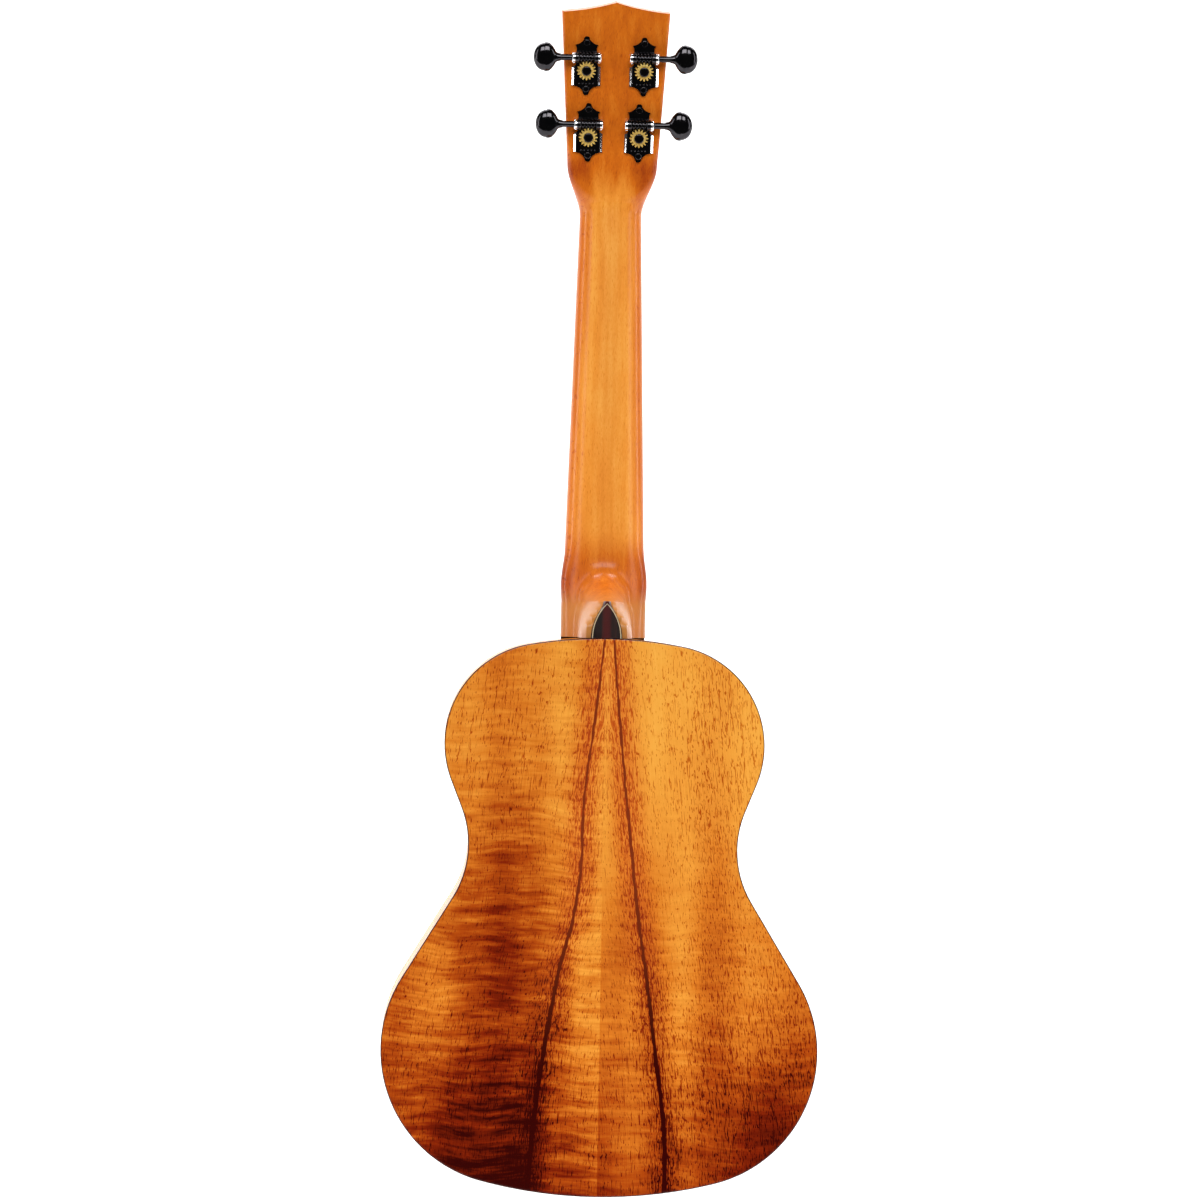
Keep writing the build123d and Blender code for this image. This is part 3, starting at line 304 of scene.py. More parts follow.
def koa_streaks(shade, height, right):
    """The dark streaks that spread from the neck like a long inverted V: line, core and halo."""
    left_line = shade.curve(height, 0, STREAK_TOP, LEFT_STREAK)
    right_line = shade.curve(height, 0, STREAK_TOP, RIGHT_STREAK)
    line = by_half(shade, right, left_line, right_line)
    ragged = shade.noise(shade.stretched(0.8, 0.0, 0.12), detail=3.0)
    from_line = shade.math("SUBTRACT", shade.math("ABSOLUTE", shade.x), line)
    apart = shade.math("ABSOLUTE", shade.sum(from_line, shade.centred(ragged, 2.0)))
    core_width = shade.fade(height, 310.0, 0.0, 0.8, 1.5)
    core = shade.fade(apart, shade.times(core_width, 0.35), core_width, 1.0, 0.0)
    return line, core, shade.fade(apart, 0.0, 15.0, 1.0, 0.0)


def koa_curl(shade, across, height, right, halo):
    """Flame across the grain, stronger low on the back and on its left half."""
    left_curl = shade.fade(height, 300.0, 130.0, 0.11, 0.24)
    right_curl = shade.fade(height, 250.0, 60.0, 0.02, 0.14)
    curl = shade.sum(by_half(shade, right, left_curl, right_curl), shade.times(halo, 0.03))
    return shade.times(flame_stripes(shade, across, shade.z), curl)


def koa_pores(shade, slant, halo):
    """Pores that follow the streaks' slant, thickest beside the streaks and on the right."""
    zone = shade.times(shade.fade(shade.x, 25.0, 60.0), 0.045)
    threshold = shade.math("SUBTRACT", 0.645, shade.sum(zone, shade.times(halo, 0.12)))
    long_pores = pore_dashes(shade, slant, shade.z, threshold, 2.2, 0.16)
    short_pores = pore_dashes(shade, shade.sum(slant, 50.0), shade.z, threshold, 1.7, 0.42)
    return shade.math("MAXIMUM", long_pores, short_pores)


def koa_back():
    """Bookmatched koa: bands, flame, pores and the two dark streaks."""
    shade = Shade("koa_back")
    height = koa_height(shade)
    drift = shade.vector(shade.times(shade.x, 0.01), 3.0, shade.times(shade.z, 0.02))
    wander = shade.noise(drift, detail=2.0)
    across = shade.sum(shade.x, shade.centred(wander, 9.0))
    right = shade.fade(shade.x, -0.3, 0.3)
    line, streak, halo = koa_streaks(shade, height, right)
    beside_seam = shade.times(right, shade.fade(shade.x, 4.0, 22.0, 1.0, 0.0))
    slant = shade.math("SUBTRACT", shade.math("ABSOLUTE", shade.x), shade.times(line, 0.9))
    pores = koa_pores(shade, slant, halo)
    fine = shade.noise(shade.vector(shade.times(slant, 3.0), 0.0, shade.times(shade.z, 0.03)), detail=3.0)
    billow = shade.vector(shade.times(shade.x, 0.035), 5.0, shade.times(shade.z, 0.012))
    cloud = shade.noise(billow, detail=3.0)
    dark = shade.sum(
        koa_bands(shade, across, height),
        # Painted shade: darker over the last 30 mm towards the tail.
        shade.fade(height, 30.0, -10.0, 0.0, 0.14),
        shade.times(beside_seam, shade.fade(height, 200.0, 120.0, 0.0, 0.13)),
        koa_curl(shade, across, height, right, halo),
        shade.times(halo, 0.07),
        shade.times(streak, 0.85),
        shade.times(pores, 0.30),
        shade.centred(fine, 0.22),
        shade.centred(cloud, 0.26),
    )
    colour = shade.ramp(dark, KOA_STOPS)
    pink = shade.times(halo, shade.fade(height, 60.0, 200.0), 0.24)
    colour = shade.mix(pink, colour, (222, 96, 44))
    # Painted shade darkens the back's rounded rim.
    koa_finish(shade, shade.mix(rim_shade(shade, facing=-1), colour, RIM_SHADE_COLOUR), pores)
    return shade.material


def rim_shade(shade, facing):
    """1 on the rounded rim of a plate that faces along Y, and 0 on its flat: the mask of the dark painted
    shade along the rim.
    """
    normal = shade.add("ShaderNodeNewGeometry").outputs["Normal"]
    _, out, _ = shade.split(normal)
    return shade.fade(shade.times(out, float(facing)), 0.99, 0.88)


def koa_plain(name, facing):
    """Koa for the sides and the soundboard: the same figure without the streaks."""
    shade = Shade(name)
    if facing:
        across, along = shade.math("ABSOLUTE", shade.x), shade.z
    else:
        across, along = shade.times(shade.y, 1.4), shade.sum(shade.z, shade.times(shade.x, 0.8))
    stripes = flame_stripes(shade, across, along, period=6.0, reach=26.0)
    grain = shade.vector(shade.times(across, 0.09), 2.0, shade.times(along, 0.008))
    bands = shade.noise(grain, detail=4.0, roughness=0.55)
    pores = pore_dashes(shade, across, along, 0.63, 2.2, 0.2)
    dark = shade.sum(
        shade.fade(bands, 0.3, 0.72, 0.12, 0.62),
        shade.times(stripes, 0.09),
        shade.times(pores, 0.2),
    )
    colour = shade.ramp(dark, KOA_STOPS)
    if facing:
        # The soundboard's rim takes the same painted shade.
        colour = shade.mix(rim_shade(shade, facing), colour, RIM_SHADE_COLOUR)
    koa_finish(shade, colour, pores)
    return shade.material


def mahogany():
    """Neck wood: honey orange, with painted shade on the headstock and the neck's flanks, a darker heel cove
    that is partly painted shade, and a paler painted light beside the heel cap.
    """
    shade = Shade("mahogany")
    grain = shade.stretched(0.22, 0.22, 0.012)
    ribbons = shade.noise(grain, detail=3.0, roughness=0.55)
    pores = pore_dashes(shade, shade.sum(shade.x, shade.times(shade.y, 0.7)), shade.z, 0.62, 3.0, 0.34)
    patch = shade.noise(shade.place, scale=0.045, detail=2.0)
    speckle = shade.noise(shade.stretched(1.2, 1.2, 0.5), detail=3.0)
    # Painted shade: the headstock, tilted away from the top light, is darkened.
    head = shade.fade(shade.z, 2.0, 26.0)
    # Darker in the heel's cove: partly the wood's own tone and partly painted shade in the concave recess.
    heel = shade.fade(shade.z, JOINT_Z + 62.0, JOINT_Z + 36.0)
    # Painted shade: darker towards the curved flanks of the neck, where the light falls off.
    from_edge = shade.math(
        "SUBTRACT", shade.fade(shade.z, 0.0, JOINT_Z, 17.0, 24.0), shade.math("ABSOLUTE", shade.x)
    )
    flank_shade = shade.times(shade.fade(from_edge, 9.0, 0.5), shade.fade(shade.z, 34.0, 20.0))
    # Painted light: a paler tan on the heel's sloping flanks beside the cap.
    beside_cap_light = shade.times(shade.fade(shade.z, JOINT_Z + 30.0, JOINT_Z + 14.0), 0.85)
    dark = shade.sum(
        0.22,
        shade.times(head, 0.30),
        shade.times(heel, 0.30),
        shade.times(flank_shade, 0.26),
        shade.centred(ribbons, 0.42),
        shade.centred(patch, 0.16),
        shade.centred(speckle, 0.16),
        shade.times(pores, 0.14),
    )
    colour = shade.ramp(dark, [
        (0.0, (250, 182, 84)),
        (0.25, (234, 146, 50)),
        (0.5, (208, 106, 16)),
        (0.75, (170, 70, 6)),
        (1.0, (96, 30, 5)),
    ])
    # The paler painted light beside the heel cap.
    colour = shade.mix(beside_cap_light, colour, (196, 132, 66))
    shade.set(base_color=colour, roughness=0.45, coat_weight=0.4, coat_roughness=0.2, specular_ior_level=0.1)
    shade.bump(shade.times(pores, -1.0), 0.05, strength=0.4)
    return shade.material


def dark_rosewood(name="dark_rosewood", stripe=0.0):
    shade = Shade(name)
    grain = shade.stretched(0.5, 0.5, 0.015)
    lines = shade.noise(grain, detail=4.0, roughness=0.6)
    pores = pore_dashes(shade, shade.x, shade.z, 0.62, 3.0, 0.3)
    dark = shade.sum(shade.fade(lines, 0.3, 0.75), shade.times(pores, -0.2))
    colour = shade.ramp(dark, [(0.0, (14, 6, 5)), (0.6, (34, 14, 10)), (1.0, (58, 24, 14))])
    if stripe:
        apart = shade.math("ABSOLUTE", shade.sum(shade.x, shade.centred(lines, 1.5)))
        colour = shade.mix(shade.fade(apart, 3.4, 0.6, 0.0, stripe), colour, (74, 8, 6))
        # A painted highlight along the heel cap's arched edge.
        colour = shade.mix(cap_edge_highlight(shade), colour, (206, 186, 150))
    shade.set(base_color=colour, roughness=0.3, coat_weight=0.5, coat_roughness=0.12)
    shade.bump(shade.times(pores, -1.0), 0.05, strength=0.5)
    return shade.material


def cap_edge_highlight(shade):
    """1 on the thin light line just inside the heel cap's pointed arch, a painted highlight along the cap's
    edge.
    """
    up = shade.math("SUBTRACT", shade.z, JOINT_Z)
    chord = shade.math("SQRT", shade.math("SUBTRACT", CAP_ARC_RADIUS**2, shade.times(up, up)))
    edge = shade.math("SUBTRACT", chord, CAP_ARC_RADIUS - CAP_HALF)
    inside = shade.math("SUBTRACT", edge, shade.math("ABSOLUTE", shade.x))
    return shade.times(shade.fade(inside, 0.9, 1.1), shade.fade(inside, 1.55, 1.35))


def pale_wood():
    shade = Shade("pale_interior_wood")
    grain = shade.stretched(0.6, 0.6, 0.03)
    lines = shade.noise(grain, detail=4.0, roughness=0.6)
    colour = shade.ramp(lines, [(0.3, (206, 164, 110)), (0.55, (226, 190, 138)), (0.8, (184, 140, 88))])
    shade.set(base_color=colour, roughness=0.7)
    shade.bump(lines, 0.1, strength=0.4)
    return shade.material


def rosette_inlay():
    """Rings of dark and light wood with a braided middle band."""
    shade = Shade("rosette_inlay")
    low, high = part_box("rosette")
    centre = (low + high) / 2 / MM
    across = shade.math("SUBTRACT", shade.x, centre.x)
    up = shade.math("SUBTRACT", shade.z, centre.z)
    radius = shade.math("SQRT", shade.sum(shade.times(across, across), shade.times(up, up)))
    turn = shade.math("ARCTAN2", up, across)
    braid = shade.math("SINE", shade.sum(shade.times(turn, 90.0), shade.times(radius, 2.4)))
    middle = shade.times(shade.fade(radius, 36.7, 36.8), shade.fade(radius, 39.3, 39.2))
    rings = shade.math("SINE", shade.times(radius, 7.4))
    pattern = shade.mix(middle, shade.fade(rings, -0.2, 0.2), shade.fade(braid, -0.2, 0.2))
    colour = shade.mix(pattern, (30, 14, 9), (214, 164, 92))
    shade.set(base_color=colour, roughness=0.35, coat_weight=1.0, coat_roughness=0.07)
    return shade.material


# ---- Metals, bone, pearl and string ------------------------------------------------------
def black_nickel(name="black_nickel", rails_about=None):
    """Dark plating; rails_about is the middle of a tuner plate whose side rails are bright nickel."""
    shade = Shade(name)
    smudge = shade.noise(shade.place, scale=0.25, detail=3.0)
    scratch = shade.noise(shade.stretched(0.4, 5.0, 5.0), detail=2.0)
    colour = shade.ramp(smudge, [(0.3, (56, 55, 58)), (0.7, (68, 66, 68))])
    if rails_about is not None:
        apart = shade.math("ABSOLUTE", shade.sum(shade.x, -rails_about))
        colour = shade.mix(shade.fade(apart, RAIL_INNER - 0.1, RAIL_INNER), colour, (236, 236, 238))
    shade.set(base_color=colour, metallic=1.0, roughness=shade.fade(scratch, 0.3, 0.8, 0.07, 0.15))
    shade.bump(smudge, 0.02, strength=0.2)
    return shade.material


def brass():
    shade = Shade("brass_gear")
    turned = shade.noise(shade.place, scale=1.6, detail=3.0)
    colour = shade.ramp(turned, [(0.25, (214, 158, 64)), (0.5, (246, 204, 104)), (0.8, (255, 236, 160))])
    shade.set(base_color=colour, metallic=0.45, roughness=shade.fade(turned, 0.2, 0.8, 0.3, 0.5))
    shade.bump(turned, 0.03, strength=0.3)
    return shade.material


def nickel_silver():
    shade = Shade("nickel_silver")
    wear = shade.noise(shade.stretched(0.5, 4.0, 4.0), detail=3.0)
    colour = shade.ramp(wear, [(0.3, (196, 192, 182)), (0.7, (226, 223, 214))])
    shade.set(base_color=colour, metallic=1.0, roughness=shade.fade(wear, 0.3, 0.8, 0.14, 0.3))
    return shade.material


def bone():
    shade = Shade("bone")
    fleck = shade.noise(shade.stretched(0.3, 2.0, 2.0), detail=4.0)
    colour = shade.ramp(fleck, [(0.3, (226, 214, 186)), (0.7, (242, 234, 214))])
    shade.set(base_color=colour, roughness=0.32, subsurface_weight=0.1, subsurface_scale=0.002)
    shade.bump(fleck, 0.02, strength=0.3)
    return shade.material


def pearl():
    shade = Shade("pearl")
    swirl = shade.noise(shade.place, scale=0.5, detail=3.0, distortion=1.5)
    colour = shade.ramp(swirl, [(0.3, (214, 226, 222)), (0.5, (246, 240, 240)), (0.7, (206, 214, 234))])
    shade.set(base_color=colour, roughness=0.16, coat_weight=0.6)
    return shade.material


def fluorocarbon():
    shade = Shade("fluorocarbon")
    cloud = shade.noise(shade.place, scale=0.4, detail=2.0)
    colour = shade.ramp(cloud, [(0.3, (214, 204, 186)), (0.7, (236, 228, 212))])
    shade.set(base_color=colour, roughness=0.22, transmission_weight=0.35, ior=1.42)
    return shade.material


# ---- Mesh helpers ------------------------------------------------------------------------
def new_object(name, data):
    piece = bpy.data.objects.new(name, data)
    bpy.context.scene.collection.objects.link(piece)
    return piece


def mesh_object(name, points, faces):
    data = bpy.data.meshes.new(name)
    data.from_pydata([Vector(point) * MM for point in points], [], faces)
    data.update()
    for polygon in data.polygons:
        polygon.use_smooth = True
    return new_object(name, data)


def skin(rings, close_start=True, close_end=True):
    """Faces between equal rings of points, with the end rings capped."""
    count = len(rings[0])
    points = [point for ring in rings for point in ring]
    faces = []
    for row in range(len(rings) - 1):
        for column in range(count):
            beside = (column + 1) % count
            low, high = row * count, (row + 1) * count
            faces.append((low + column, low + beside, high + beside, high + column))
    if close_start:
        faces.append(tuple(reversed(range(count))))
    if close_end:
        faces.append(tuple(range(len(points) - count, len(points))))
    return points, faces


def finish_piece(piece, material, body):
    piece.data.materials.clear()
    piece.data.materials.append(material)
    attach(piece, body)
    return piece


def on_head(name, across, up, out):
    """A point about a tuner's post: across, up the headstock and out of its back."""
    post_across, post_up, _ = TUNERS[name]
    return HEAD_BACK_START + Vector((post_across + across, 0, 0)) + HEAD_UP * (post_up + up) - HEAD_OUT * out


# ---- Neck --------------------------------------------------------------------------------
NECK_HALF_AT_NUT, NECK_HALF_AT_BODY = 17.2, 23.5
NECK_DEPTH_AT_NUT, NECK_DEPTH_AT_HEEL = 13.2, 15.0
HEEL_START_Z = JOINT_Z + 54.0
BACK_SLOPE = (DEPTH_AT_TAIL - DEPTH_AT_NECK) / (JOINT_Z - TAIL_Z)
CAP_TIP_Z = JOINT_Z + CAP_LENGTH
KEEL_HALF_AT_TIP, KEEL_HALF_AT_BODY, KEEL_POWER = 7.0, 10.6, 2.5
COVE_SHARE = 0.93
HEEL_CHEEK, HEEL_CHEEK_RUN = 5.0, 40.0   # extra width of the heel's flanks, and its run-in
HEAD_FOOT, HEAD_CORNER, HEAD_APEX, CROWN_SAG = 22.0, 107.3, 112.8, 0.9
HEAD_HALF_AT_FLARE, HEAD_HALF_AT_CORNER = 25.2, 30.1
FLARE_START, FLARE_END = -4.0, NUT_LENGTH + HEAD_FOOT * cos(HEAD_TILT)
TILT_START = -10.0
CROWN_START = 88.0                   # up the headstock, where the rings start to follow the crown
SECTION_STEPS = 120


def smooth(share):
    share = min(1.0, max(0.0, share))
    return share * share * (3 - 2 * share)


def superellipse(angle, half, depth, power):
    return ((abs(cos(angle)) / half) ** power + (sin(angle) / depth) ** power) ** (-1 / power)


def plane_depth(z):
    """Depth of the back's outer face under the glue plane."""
    return DEPTH_AT_NECK - (z - JOINT_Z) * BACK_SLOPE


def keel(z):
    """Half width and depth of the heel's keel at a station."""
    if z > CAP_TIP_Z:
        run = (HEEL_START_Z - z) / (HEEL_START_Z - CAP_TIP_Z)
        cove = (1 - sqrt(1 - (COVE_SHARE * run) ** 2)) / (1 - sqrt(1 - COVE_SHARE**2))
        return KEEL_HALF_AT_TIP, plane_depth(CAP_TIP_Z) * cove
    arch = sqrt(CAP_ARC_RADIUS**2 - (z - JOINT_Z) ** 2) - (CAP_ARC_RADIUS - CAP_HALF)
    half = KEEL_HALF_AT_TIP + (KEEL_HALF_AT_BODY - KEEL_HALF_AT_TIP) * arch / CAP_HALF
    return half, plane_depth(z) / (1 - (arch / half) ** KEEL_POWER) ** (1 / KEEL_POWER)


def neck_half(place):
    """Half width at a place: along Z up to the nut's far side, then up the headstock."""
    if place > NUT_LENGTH + HEAD_FOOT:
        share = (place - NUT_LENGTH - HEAD_FOOT) / (HEAD_CORNER - HEAD_FOOT)
        return HEAD_HALF_AT_FLARE + (HEAD_HALF_AT_CORNER - HEAD_HALF_AT_FLARE) * share
    z = place if place < NUT_LENGTH else NUT_LENGTH + (place - NUT_LENGTH) * cos(HEAD_TILT)
    flare = smooth((z - FLARE_START) / (FLARE_END - FLARE_START))
    straight = NECK_HALF_AT_NUT + (NECK_HALF_AT_BODY - NECK_HALF_AT_NUT) * max(0.0, -z) / -JOINT_Z
    return straight + (HEAD_HALF_AT_FLARE - NECK_HALF_AT_NUT) * flare


def neck_depth(place):
    if place > 0:
        return NECK_DEPTH_AT_NUT + (HEAD_DEPTH - NECK_DEPTH_AT_NUT) * smooth(place / 12)
    return NECK_DEPTH_AT_NUT + (NECK_DEPTH_AT_HEEL - NECK_DEPTH_AT_NUT) * place / JOINT_Z


def crown_height(x):
    share = abs(x) / HEAD_HALF_AT_CORNER
    return (HEAD_APEX - HEAD_CORNER) * (1 - share) - 4 * CROWN_SAG * share * (1 - share)


def heel_point(place, angle, radius, depth):
    """(across, depth) of the shaft's section blended with the keel, cut at the cap's plane."""
    keel_half, keel_depth = keel(place)
    keel_radius = sin(angle) * superellipse(angle, keel_half, keel_depth, KEEL_POWER)
    heel_radius = (radius**3 + keel_radius**3) ** (1 / 3)
    centre = (depth**3 + keel_depth**3) ** (1 / 3)
    across, deep = heel_radius * cos(angle), heel_radius * sin(angle)
    fullness = sin(pi * min(1.0, deep / centre) ** 0.7) ** 1.5
    cheek = HEEL_CHEEK * smooth((HEEL_START_Z - place) / HEEL_CHEEK_RUN) * fullness
    across += cheek * max(-1.0, min(1.0, across / 4))
    limit = plane_depth(place) - CAP_THICKNESS
    if deep > limit:
        across, deep = across * limit / deep, limit
    return across, deep


def neck_profile(place):
    """(across, depth) points under the neck's top face, from one edge round to the other."""
    half, depth = neck_half(place), neck_depth(place)
    power = 2.15 + 7.0 * smooth((place + 6) / (FLARE_END + 6)) ** 1.5 + 14 * smooth((place - 30) / 15)
    points = []
    for step in range(SECTION_STEPS + 1):
        angle = pi * step / SECTION_STEPS
        radius = superellipse(angle, half, depth, power)
        across, deep = radius * cos(angle), radius * sin(angle)
        if place < HEEL_START_Z:
            across, deep = heel_point(place, angle, radius, depth)
        points.append((across, deep))
    return points


def neck_ring(place):
    """One closed ring of the neck: its carved underside and its flat top."""
    tilt = HEAD_TILT * smooth((place - TILT_START) / (HEAD_FOOT - TILT_START))
    down = Vector((0, -cos(tilt), -sin(tilt)))
    if place > NUT_LENGTH:
        base, top = HEAD_START + HEAD_UP * (place - NUT_LENGTH), VENEER
    else:
        base, top = Vector((0, 0, place)), 0.0
    sheared = smooth((place - NUT_LENGTH - CROWN_START) / (HEAD_CORNER - CROWN_START))
    under = []
    flat = []
    for across, deep in neck_profile(place):
        start = base + Vector((across, 0, 0)) + HEAD_UP * (crown_height(across) * sheared)
        under.append(start + down * max(deep, top))
        flat.append(start + down * top)
    return under + flat[-2:0:-1]


def neck_places():
    """Where the rings lie: close together at the heel, the flare and the crown."""
    heel = [JOINT_Z + k for k in range(54)]
    shaft = [HEEL_START_Z + 18 * k for k in range(10)]
    flare = [-12 + 1.5 * k for k in range(11)]
    nut_edge = [NUT_LENGTH - 0.01, NUT_LENGTH + 0.01]
    flare_end = [NUT_LENGTH + 1.5 * k for k in range(1, 24)]
    head = [NUT_LENGTH + 40 + 12 * k for k in range(4)]
    crown = [NUT_LENGTH + CROWN_START + (HEAD_CORNER - CROWN_START) * k / 14 for k in range(15)]
    return heel + shaft + flare + nut_edge + flare_end + head + crown


def make_neck(material):
    rings = [neck_ring(place) for place in neck_places()]
    points, faces = skin(rings, close_start=False, close_end=False)
    count = len(rings[0])
    for start in (0, len(points) - count):
        for step in range(SECTION_STEPS):
            corners = (step, step + 1, (count - step - 1) % count, (count - step) % count)
            face = list(dict.fromkeys(start + corner for corner in corners))
            faces.append(tuple(face if start else face[::-1]))
    piece = mesh_object("neck_shape", points, faces)
    fix_normals(piece)
    piece.data.set_sharp_from_angle(angle=radians(40))
    finish_piece(piece, material, "instrument")
    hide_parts("neck")


def fix_normals(piece):
    mesh = bmesh.new()
    mesh.from_mesh(piece.data)
    bmesh.ops.remove_doubles(mesh, verts=mesh.verts, dist=0.00001)
    bmesh.ops.recalc_face_normals(mesh, faces=mesh.faces)
    mesh.to_mesh(piece.data)
    mesh.free()


# ---- Knobs -------------------------------------------------------------------------------
KNOB_HALF_OUT, KNOB_HALF_UP, KNOB_HALF_THICK = 6.35, 7.7, 3.6
KNOB_NECK_START, KNOB_NECK_RADIUS = 8.75, 2.15
KNOB_RINGS, KNOB_SIDES = 45, 48


def knob_ring(along):
    """Half height and half thickness of the knob at a distance along the shaft from its middle."""
    share = max(-1.0, min(1.0, along / KNOB_HALF_OUT))
    oval = sqrt(max(0.0, 1 - abs(share) ** 2.15))
    up, thick = KNOB_HALF_UP * oval, KNOB_HALF_THICK * oval**0.8
    if along < 0:
        neck = min(1.0, (along + KNOB_NECK_START) / (KNOB_NECK_START - 2.6))
        flare = KNOB_NECK_RADIUS + 4.4 * max(0.0, neck) ** 2.1
        up = (up**6 + flare**6) ** (1 / 6) if along > -KNOB_HALF_OUT else flare
        slim = KNOB_NECK_RADIUS + 0.9 * max(0.0, neck) ** 1.5
        thick = (thick**6 + slim**6) ** (1 / 6) if along > -KNOB_HALF_OUT else slim
    return up, thick


def make_knob(name, material):
    side = TUNERS[name][2]
    rings = []
    for step in range(KNOB_RINGS):
        share = (1 - cos(pi * step / (KNOB_RINGS - 1))) / 2
        along = -KNOB_NECK_START + (KNOB_NECK_START + KNOB_HALF_OUT) * share
        up, thick = [max(half, 0.02) for half in knob_ring(along)]
        ring = []
        for turn in range(KNOB_SIDES):
            angle = 2 * pi * turn / KNOB_SIDES
            height, out = WORM_TO_POST + up * cos(angle), WORM_HEIGHT + thick * sin(angle)
            ring.append(on_head(name, side * (KNOB_REACH + along), height, out))
        rings.append(ring if side > 0 else ring[::-1])
    piece = mesh_object("knob_shape_" + name, *skin(rings))
    finish_piece(piece, material, f"knob_{name}_turn")
    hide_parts("knob_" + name)


# ---- Strings -----------------------------------------------------------------------------
def string_curve(name, points, radius):
    data = bpy.data.curves.new(name, "CURVE")
    data.dimensions = "3D"
    data.bevel_depth = radius * MM
    data.bevel_resolution = 3
    data.use_fill_caps = True
    spline = data.splines.new("POLY")
    spline.points.add(len(points) - 1)
    for point, place in zip(spline.points, points):
        point.co = (*(Vector(place) * MM), 1)
    return new_object(name, data)


def make_string(name, material):
    """A taut string from its tie block to its post, and the coil that turns with the post."""
    radius, place = STRING_RADII[name], STRING_PLACES[name]
    across, up, side = TUNERS[name]
    at_saddle, at_nut = place * SADDLE_SPACING, place * NUT_SPACING
    nut = Vector((at_nut, STRING_BASE_AT_NUT + radius, NUT_LENGTH / 2))
    saddle = Vector((at_saddle, STRING_BASE_AT_SADDLE + radius, SADDLE_Z))
    tie = Vector((at_saddle, TIE_HOLE_HEIGHT, BRIDGE_REAR_Z + TIE_KNOT_REACH))
    tie_end = Vector((at_saddle, TIE_HOLE_HEIGHT, BRIDGE_REAR_Z - TIE_TAIL))
    wound = POST_WAIST_RADIUS + radius
    touch = HEAD_START + Vector((across - side * wound, 0, 0)) + HEAD_UP * up + HEAD_OUT * COIL_HEIGHT
    string = string_curve("string_line_" + name, [tie_end, tie, saddle, nut, touch], radius)
    finish_piece(string, material, "instrument")
    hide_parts("string_" + name)
    coil = []
    for step in range(COIL_TURNS * COIL_STEPS + 1):
        angle = 2 * pi * step / COIL_STEPS
        rise = COIL_HEIGHT + radius * (2 * step / COIL_STEPS - COIL_TURNS)
        beside = Vector((across - side * wound * cos(angle), 0, 0))
        coil.append(HEAD_START + beside + HEAD_UP * (up + wound * sin(angle)) + HEAD_OUT * rise)
    winding = string_curve("coil_line_" + name, coil, radius)
    finish_piece(winding, material, f"post_{name}_turn")
    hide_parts("string_coil_" + name)


# ---- CAD nodes that keep their own shape -------------------------------------------------
def dress(names, material):
    for name in names:
        materials = NODES[name].data.materials
        materials.clear()
        materials.append(material)


def names_starting(*starts):
    return [name for name in NODES if name.startswith(starts)]


METAL = black_nickel()
STRING_STUFF = fluorocarbon()
INSIDE_WOOD = pale_wood()
dress(names_starting("back_bass_half", "back_treble_half"), koa_back())
dress(names_starting("side_"), koa_plain("koa_sides", 0))
dress(["soundboard"], koa_plain("koa_top", 1))
make_neck(mahogany())
dress(["heel_cap"], dark_rosewood("heel_ebony", stripe=0.8))
dress(["headstock_veneer", "fretboard", "bridge"], dark_rosewood())
dress(["neck_block", "tail_block", "soundboard_lining", "back_lining"], INSIDE_WOOD)
dress(["soundboard_braces", "back_braces", "bridge_plate", "back_seam_strip"], INSIDE_WOOD)
dress(["rosette"], rosette_inlay())
dress(["position_dots"], pearl())
dress(["nut", "saddle"], bone())
dress(["frets"], nickel_silver())
dress(names_starting("gear_a", "gear_c", "gear_e", "gear_g"), brass())
dress(names_starting("gear_screw", "tuner_mounting", "worm_", "string_post", "post_bushings"), METAL)
for tuner in TUNERS:
    dress([f"tuner_plate_{tuner}"], black_nickel(f"plate_nickel_{tuner}", TUNERS[tuner][0]))
    make_knob(tuner, METAL)
    make_string(tuner, STRING_STUFF)


# ---- Stage, lights and camera ------------------------------------------------------------
FLOOR_Z = TAIL_Z * MM - 0.05         # this section is in metres
FLOOR_FRONT, FLOOR_BACK, SWEEP_RADIUS, SWEEP_STEPS = -0.6, 1.2, 1.2, 12
STAGE_HALF_WIDTH, STAGE_TOP = 6.0, 5.0


def make_stage():
    """A pale floor that sweeps up into a pale backdrop."""
    rows = [(FLOOR_FRONT, 0.0), (FLOOR_BACK, 0.0)]
    for step in range(1, SWEEP_STEPS + 1):
        angle = pi / 2 * step / SWEEP_STEPS
        rows.append((FLOOR_BACK + SWEEP_RADIUS * sin(angle), SWEEP_RADIUS * (1 - cos(angle))))
    rows.append((FLOOR_BACK + SWEEP_RADIUS, STAGE_TOP))
    points = [(x, y, FLOOR_Z + z) for y, z in rows for x in (-STAGE_HALF_WIDTH, STAGE_HALF_WIDTH)]
    faces = [(2 * k, 2 * k + 1, 2 * k + 3, 2 * k + 2) for k in range(len(rows) - 1)]
    stage = mesh_object("stage", [Vector(point) / MM for point in points], faces)
    shade = Shade("stage_paper")
    shade.set(base_color=(248, 248, 248), roughness=0.9)
    stage.data.materials.append(shade.material)


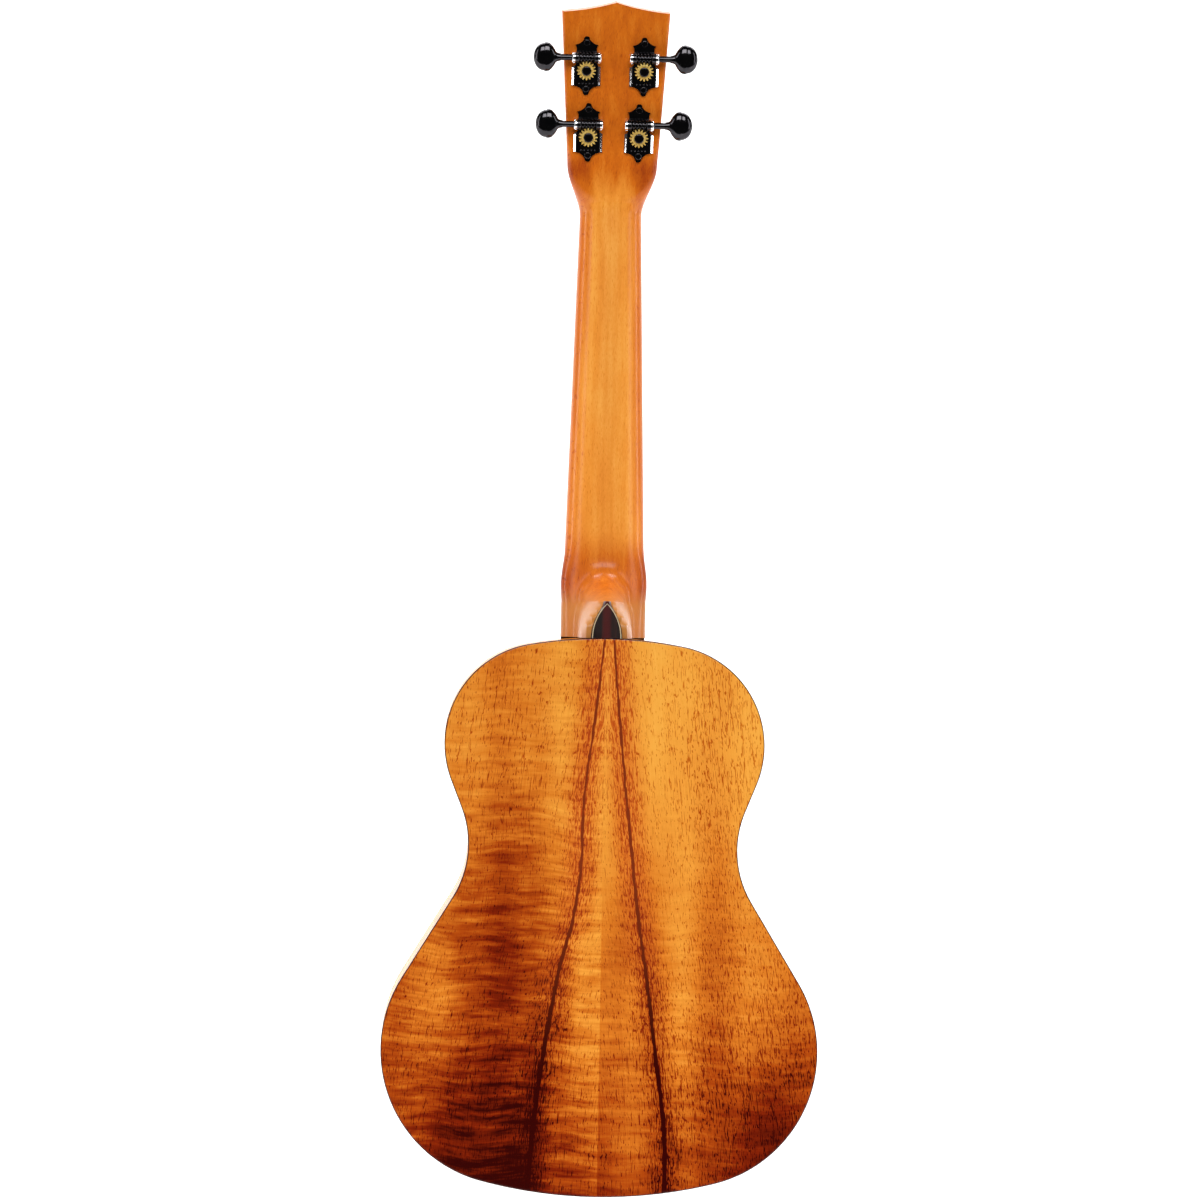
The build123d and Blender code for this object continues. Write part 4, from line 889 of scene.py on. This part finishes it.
def soft_light(name, place, aim, width, height, power):
    data = bpy.data.lights.new(name, "AREA")
    data.shape = "RECTANGLE"
    data.size, data.size_y = width, height
    data.energy = power
    light = new_object(name, data)
    light.location = place
    light.rotation_euler = (Vector(aim) - Vector(place)).to_track_quat("-Z", "Y").to_euler()


def make_lights():
    """Two side boxes, two thin strips level with the edge, a front box and a backdrop light."""
    middle = (0, 0, -0.2)
    soft_light("left_box", (-1.9, -1.2, 0.1), middle, 0.4, 2.0, 9)
    soft_light("right_box", (1.9, -1.2, 0.1), middle, 0.4, 2.0, 9)
    soft_light("left_strip", (-1.6, 0.04, -0.2), middle, 0.14, 1.4, 6)
    soft_light("right_strip", (1.6, 0.04, -0.2), middle, 0.14, 1.4, 6)
    soft_light("front_box", (0, -2.5, 1.3), middle, 2.4, 1.2, 57)
    soft_light("backdrop_light", (0, 0.4, 2.6), (0, 2.4, 0.6), 5.0, 1.2, 190)
    world = bpy.data.worlds.new("studio")
    world.use_nodes = True
    background = world.node_tree.nodes["Background"]
    background.inputs["Color"].default_value = (1, 1, 1, 1)
    background.inputs["Strength"].default_value = 0.05
    bpy.context.scene.world = world


CAMERA_PLACE = (-0.088, -2.570, -0.221)
CAMERA_AZIMUTH = radians(-1.92)
CAMERA_ROLL = radians(1.08)
CAMERA_TILT = radians(0.055)        # looks up by this much
FOCAL_PIXELS, FRAME_PIXELS = 4576, 1200
SENSOR_WIDTH = 36


def make_camera():
    data = bpy.data.cameras.new("camera")
    data.sensor_width = SENSOR_WIDTH
    data.lens = SENSOR_WIDTH * FOCAL_PIXELS / FRAME_PIXELS
    data.clip_start, data.clip_end = 0.1, 50
    camera = new_object("camera", data)
    camera.location = CAMERA_PLACE
    ahead = Vector((-sin(CAMERA_AZIMUTH), cos(CAMERA_AZIMUTH), tan(CAMERA_TILT)))
    level = ahead.to_track_quat("-Z", "Y").to_matrix()
    camera.rotation_euler = (level @ Matrix.Rotation(CAMERA_ROLL, 3, "Z")).to_euler()
    bpy.context.scene.camera = camera


make_stage()
make_lights()
make_camera()
bpy.context.scene.view_settings.view_transform = "Standard"

bpy.context.view_layer.update()
